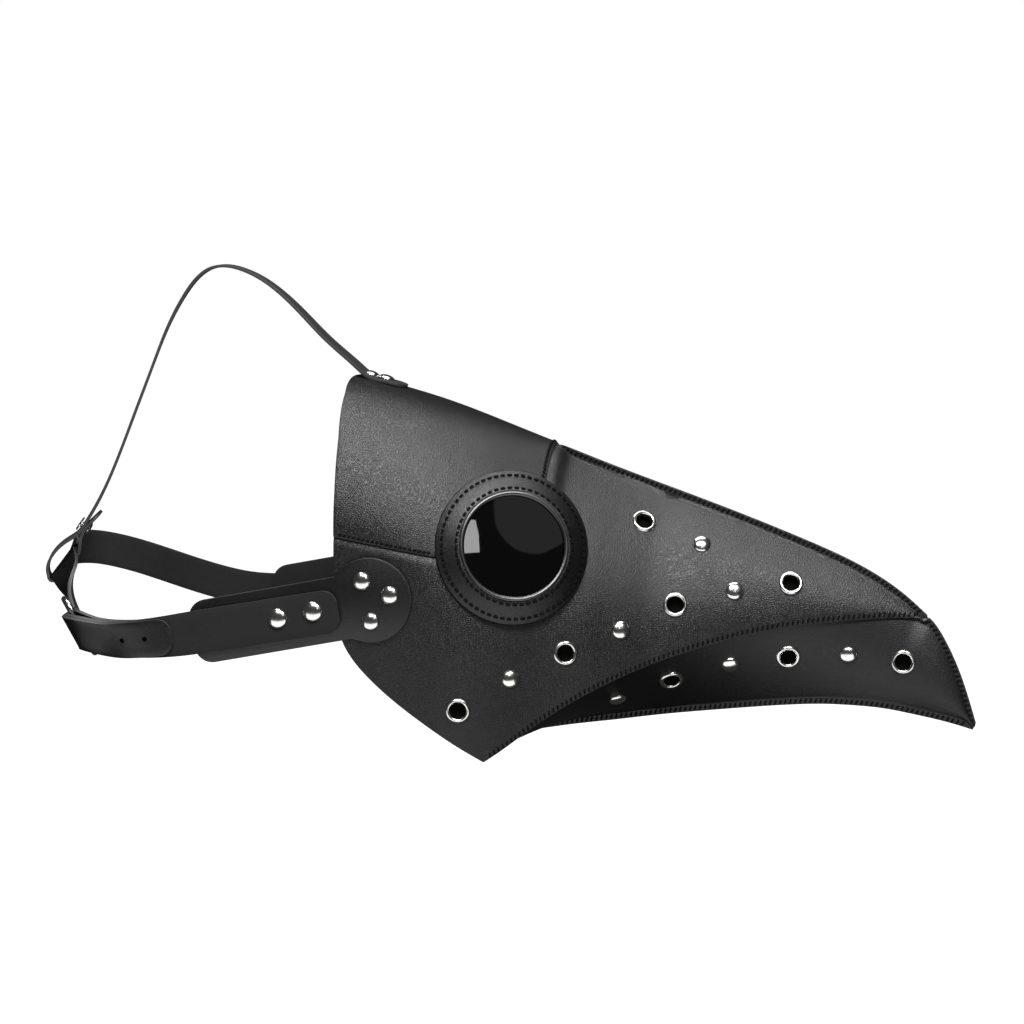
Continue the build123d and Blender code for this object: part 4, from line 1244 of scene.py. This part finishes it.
def build_stage():
    material, tree = new_material("Seamless paper, pale")
    place = add_node(tree, "ShaderNodeTexCoord").outputs["Object"]
    tooth = add_node(tree, "ShaderNodeTexNoise", [("Vector", place)], Scale=300.0)
    shader = add_node(tree, "ShaderNodeBsdfPrincipled", Roughness=0.9)
    shader.inputs["Base Color"].default_value = (0.9, 0.9, 0.9, 1)
    shader.inputs["Emission Color"].default_value = (1, 1, 1, 1)
    shader.inputs["Emission Strength"].default_value = 1.0
    tree.links.new(raised(tree, tooth.outputs["Fac"], 0.5, strength=0.05), shader.inputs["Normal"])
    add_node(tree, "ShaderNodeOutputMaterial", [("Surface", shader.outputs["BSDF"])])
    bpy.ops.mesh.primitive_plane_add(size=14, location=(0.1, 0, FLOOR_Z))
    floor = finish_object(bpy.context.object, "Floor")
    floor.data.materials.append(material)
    floor.visible_diffuse = False
    floor.visible_glossy = False

    world = bpy.data.worlds.new("Studio")
    bpy.context.scene.world = world
    world.use_nodes = True
    sky = world.node_tree
    sight = add_node(sky, "ShaderNodeLightPath").outputs["Is Camera Ray"]
    level = add_node(sky, "ShaderNodeMapRange", [("Value", sight)], To_Min=0.035, To_Max=1.0)
    sky.links.new(level.outputs["Result"], sky.nodes["Background"].inputs["Strength"])
    sky.nodes["Background"].inputs["Color"].default_value = (1, 1, 1, 1)
    area_light("Key softbox", (0.32, -0.98, 1.12), AIM, (1.3, 0.5), bpy.context.scene.mask_studio.key_power)
    area_light("Top strip", (0.0, 0.2, 1.5), AIM, (1.4, 0.35), 20)
    area_light("Window panel", (0.648, -1.352, 0.552), EYE_PLACE, (0.1, 0.19), 0.5)
    area_light("Reflector disc", (0.956, -1.112, 0.6445), EYE_PLACE, (0.46, 0.46), 0.2).data.shape = "DISK"
    area_light("Table bounce", (0.1, -0.5, -0.42), (0.1, 0, -0.05), (1.4, 0.5), 3.2)

    data = bpy.data.cameras.new("Camera")
    camera = bpy.data.objects.new("Camera", data)
    bpy.context.collection.objects.link(camera)
    studio = bpy.context.scene.mask_studio
    azimuth, rise, distance = studio.azimuth, studio.rise, studio.distance
    view = Vector((sin(azimuth) * cos(rise), -cos(azimuth) * cos(rise), sin(rise)))
    camera.location = Vector(AIM) + distance * view
    camera.rotation_euler = (Vector(AIM) - camera.location).to_track_quat("-Z", "Y").to_euler()
    data.sensor_width = 36
    data.lens = 105.47
    bpy.context.scene.camera = camera
    bpy.context.scene.view_settings.view_transform = "Standard"


# ---- Add-on ----------------------------------------------------------------------------------
class MaskLook(bpy.types.PropertyGroup):
    """What can be set before the mask is built."""

    leather_thickness: bpy.props.FloatProperty(
        name="Panel leather", description="Thickness of the sewn panels in millimetres", default=1.55,
        min=0.8, max=2.0,
    )
    stitch_pitch: bpy.props.FloatProperty(
        name="Edge stitch pitch", description="Distance between the seam stitches in millimetres",
        default=2.5, min=1.5, max=6.0,
    )
    thread_radius: bpy.props.FloatProperty(
        name="Thread radius", description="Half the thickness of the sewing thread in millimetres",
        default=0.42, min=0.2, max=0.8,
    )


class StudioLook(bpy.types.PropertyGroup):
    """How the mask is lit and seen."""

    azimuth: bpy.props.FloatProperty(
        name="Azimuth", description="Camera angle round the mask", default=radians(11), subtype="ANGLE"
    )
    rise: bpy.props.FloatProperty(
        name="Rise", description="Camera angle above the mask", default=radians(5.5), subtype="ANGLE"
    )
    distance: bpy.props.FloatProperty(
        name="Distance", description="Camera to mask", default=1.5, unit="LENGTH"
    )
    key_power: bpy.props.FloatProperty(
        name="Key power", description="Power of the key softbox in watts", default=34.0, min=0.0
    )


class Step(bpy.types.Operator):
    """Base of the building steps: runs one step and stops if it fails."""

    bl_options = {"REGISTER", "UNDO"}
    pieces = ()

    def build(self):
        raise NotImplementedError

    def execute(self, context):
        self.build()
        missing = [name for name in self.pieces if name not in bpy.data.objects]
        if missing:
            raise RuntimeError("%s made no %s" % (self.bl_label, ", ".join(missing)))
        return {"FINISHED"}


class MASK_OT_materials(Step):
    """Make the leathers, thread, metals, plastics and gauze."""

    bl_idname = "mask.materials"
    bl_label = "Materials"

    def build(self):
        make_materials()


class MASK_OT_forehead_panel(Step):
    """Build the one-piece forehead panel."""

    bl_idname = "mask.forehead_panel"
    bl_label = "Forehead panel"
    pieces = ("Forehead_panel",)

    def build(self):
        build_forehead_panel()


class MASK_OT_side_panels(Step):
    """Build the cheek and beak panels of both sides."""

    bl_idname = "mask.side_panels"
    bl_label = "Side panels"
    pieces = ("Side_panel_right", "Side_panel_left")

    def build(self):
        for name, side in SIDES:
            build_side_panel(name, side)


class MASK_OT_lower_panels(Step):
    """Build the lower beak panels of both sides."""

    bl_idname = "mask.lower_panels"
    bl_label = "Lower panels"
    pieces = ("Lower_panel_right", "Lower_panel_left")

    def build(self):
        for name, side in SIDES:
            build_lower_panel(name, side)


class MASK_OT_eyepieces(Step):
    """Build the leather rings, rims, lenses and retainers."""

    bl_idname = "mask.eyepieces"
    bl_label = "Eyepieces"
    pieces = ("Eye_ring_right", "Lens_right", "Eye_ring_left", "Lens_left")

    def build(self):
        for name, side in SIDES:
            build_eyepiece(name, side)


class MASK_OT_panel_trim(Step):
    """Set the eyelets and rivets in the panels, with black gauze discs under the eyelets as painted shade in
    the holes.
    """

    bl_idname = "mask.panel_trim"
    bl_label = "Eyelets and rivets"
    pieces = ("Side_eyelets_right", "Lower_rivets_right", "Side_eyelets_left", "Lower_rivets_left")

    def build(self):
        for name, side in SIDES:
            build_panel_trim(name, side)


class MASK_OT_cheek_patches(Step):
    """Rivet the strap patches to the cheeks."""

    bl_idname = "mask.cheek_patches"
    bl_label = "Cheek patches"
    pieces = ("Cheek_patch_right", "Cheek_patch_left")

    def build(self):
        for name, side in SIDES:
            build_cheek_patch(name, side)


class MASK_OT_back_straps(Step):
    """Build the short strap with its fold and the long strap with its tail."""

    bl_idname = "mask.back_straps"
    bl_label = "Back straps"
    pieces = ("Short_strap", "Long_strap")

    def build(self):
        build_short_strap()
        build_long_strap()


class MASK_OT_buckle(Step):
    """Bend the buckle frame and its prong."""

    bl_idname = "mask.buckle"
    bl_label = "Buckle"
    pieces = ("Buckle_frame", "Buckle_prong")

    def build(self):
        build_buckle()


class MASK_OT_top_strap(Step):
    """Build the strap over the head, its rivets and its loop."""

    bl_idname = "mask.top_strap"
    bl_label = "Top strap"
    pieces = ("Top_strap", "Top_rivets", "Loop_rivet")

    def build(self):
        build_top_strap()


class MASK_OT_thread(Step):
    """Sew the seams, the brow and the rings."""

    bl_idname = "mask.thread"
    bl_label = "Thread"
    pieces = ("Seam_thread_right", "Seam_thread_left")

    def build(self):
        for name, side in SIDES:
            build_stitches(name, side)


class MASK_OT_studio(Step):
    """Set up the pale floor, the softboxes and the camera."""

    bl_idname = "mask.studio"
    bl_label = "Studio"
    pieces = ("Floor", "Camera")

    def build(self):
        build_stage()


STEPS = (
    MASK_OT_materials, MASK_OT_forehead_panel, MASK_OT_side_panels, MASK_OT_lower_panels,
    MASK_OT_eyepieces, MASK_OT_panel_trim, MASK_OT_cheek_patches, MASK_OT_back_straps, MASK_OT_buckle,
    MASK_OT_top_strap, MASK_OT_thread, MASK_OT_studio,
)


class MASK_PT_builder(bpy.types.Panel):
    """Settings and building steps of the mask."""

    bl_label = "Plague Doctor Mask"
    bl_idname = "MASK_PT_builder"
    bl_space_type = "VIEW_3D"
    bl_region_type = "UI"
    bl_category = "Plague Mask"

    def draw(self, context):
        look, studio = context.scene.mask_look, context.scene.mask_studio
        for name in ("leather_thickness", "stitch_pitch", "thread_radius"):
            self.layout.prop(look, name)
        for name in ("azimuth", "rise", "distance", "key_power"):
            self.layout.prop(studio, name)
        for step in STEPS:
            self.layout.operator(step.bl_idname)


def register():
    for item in (MaskLook, StudioLook, *STEPS, MASK_PT_builder):
        bpy.utils.register_class(item)
    bpy.types.Scene.mask_look = bpy.props.PointerProperty(type=MaskLook)
    bpy.types.Scene.mask_studio = bpy.props.PointerProperty(type=StudioLook)


def unregister():
    del bpy.types.Scene.mask_studio
    del bpy.types.Scene.mask_look
    for item in (MASK_PT_builder, *reversed(STEPS), StudioLook, MaskLook):
        bpy.utils.unregister_class(item)


def main():
    register()
    for step in STEPS:
        group, name = step.bl_idname.split(".")
        getattr(getattr(bpy.ops, group), name)()


if __name__ == "__main__":
    main()
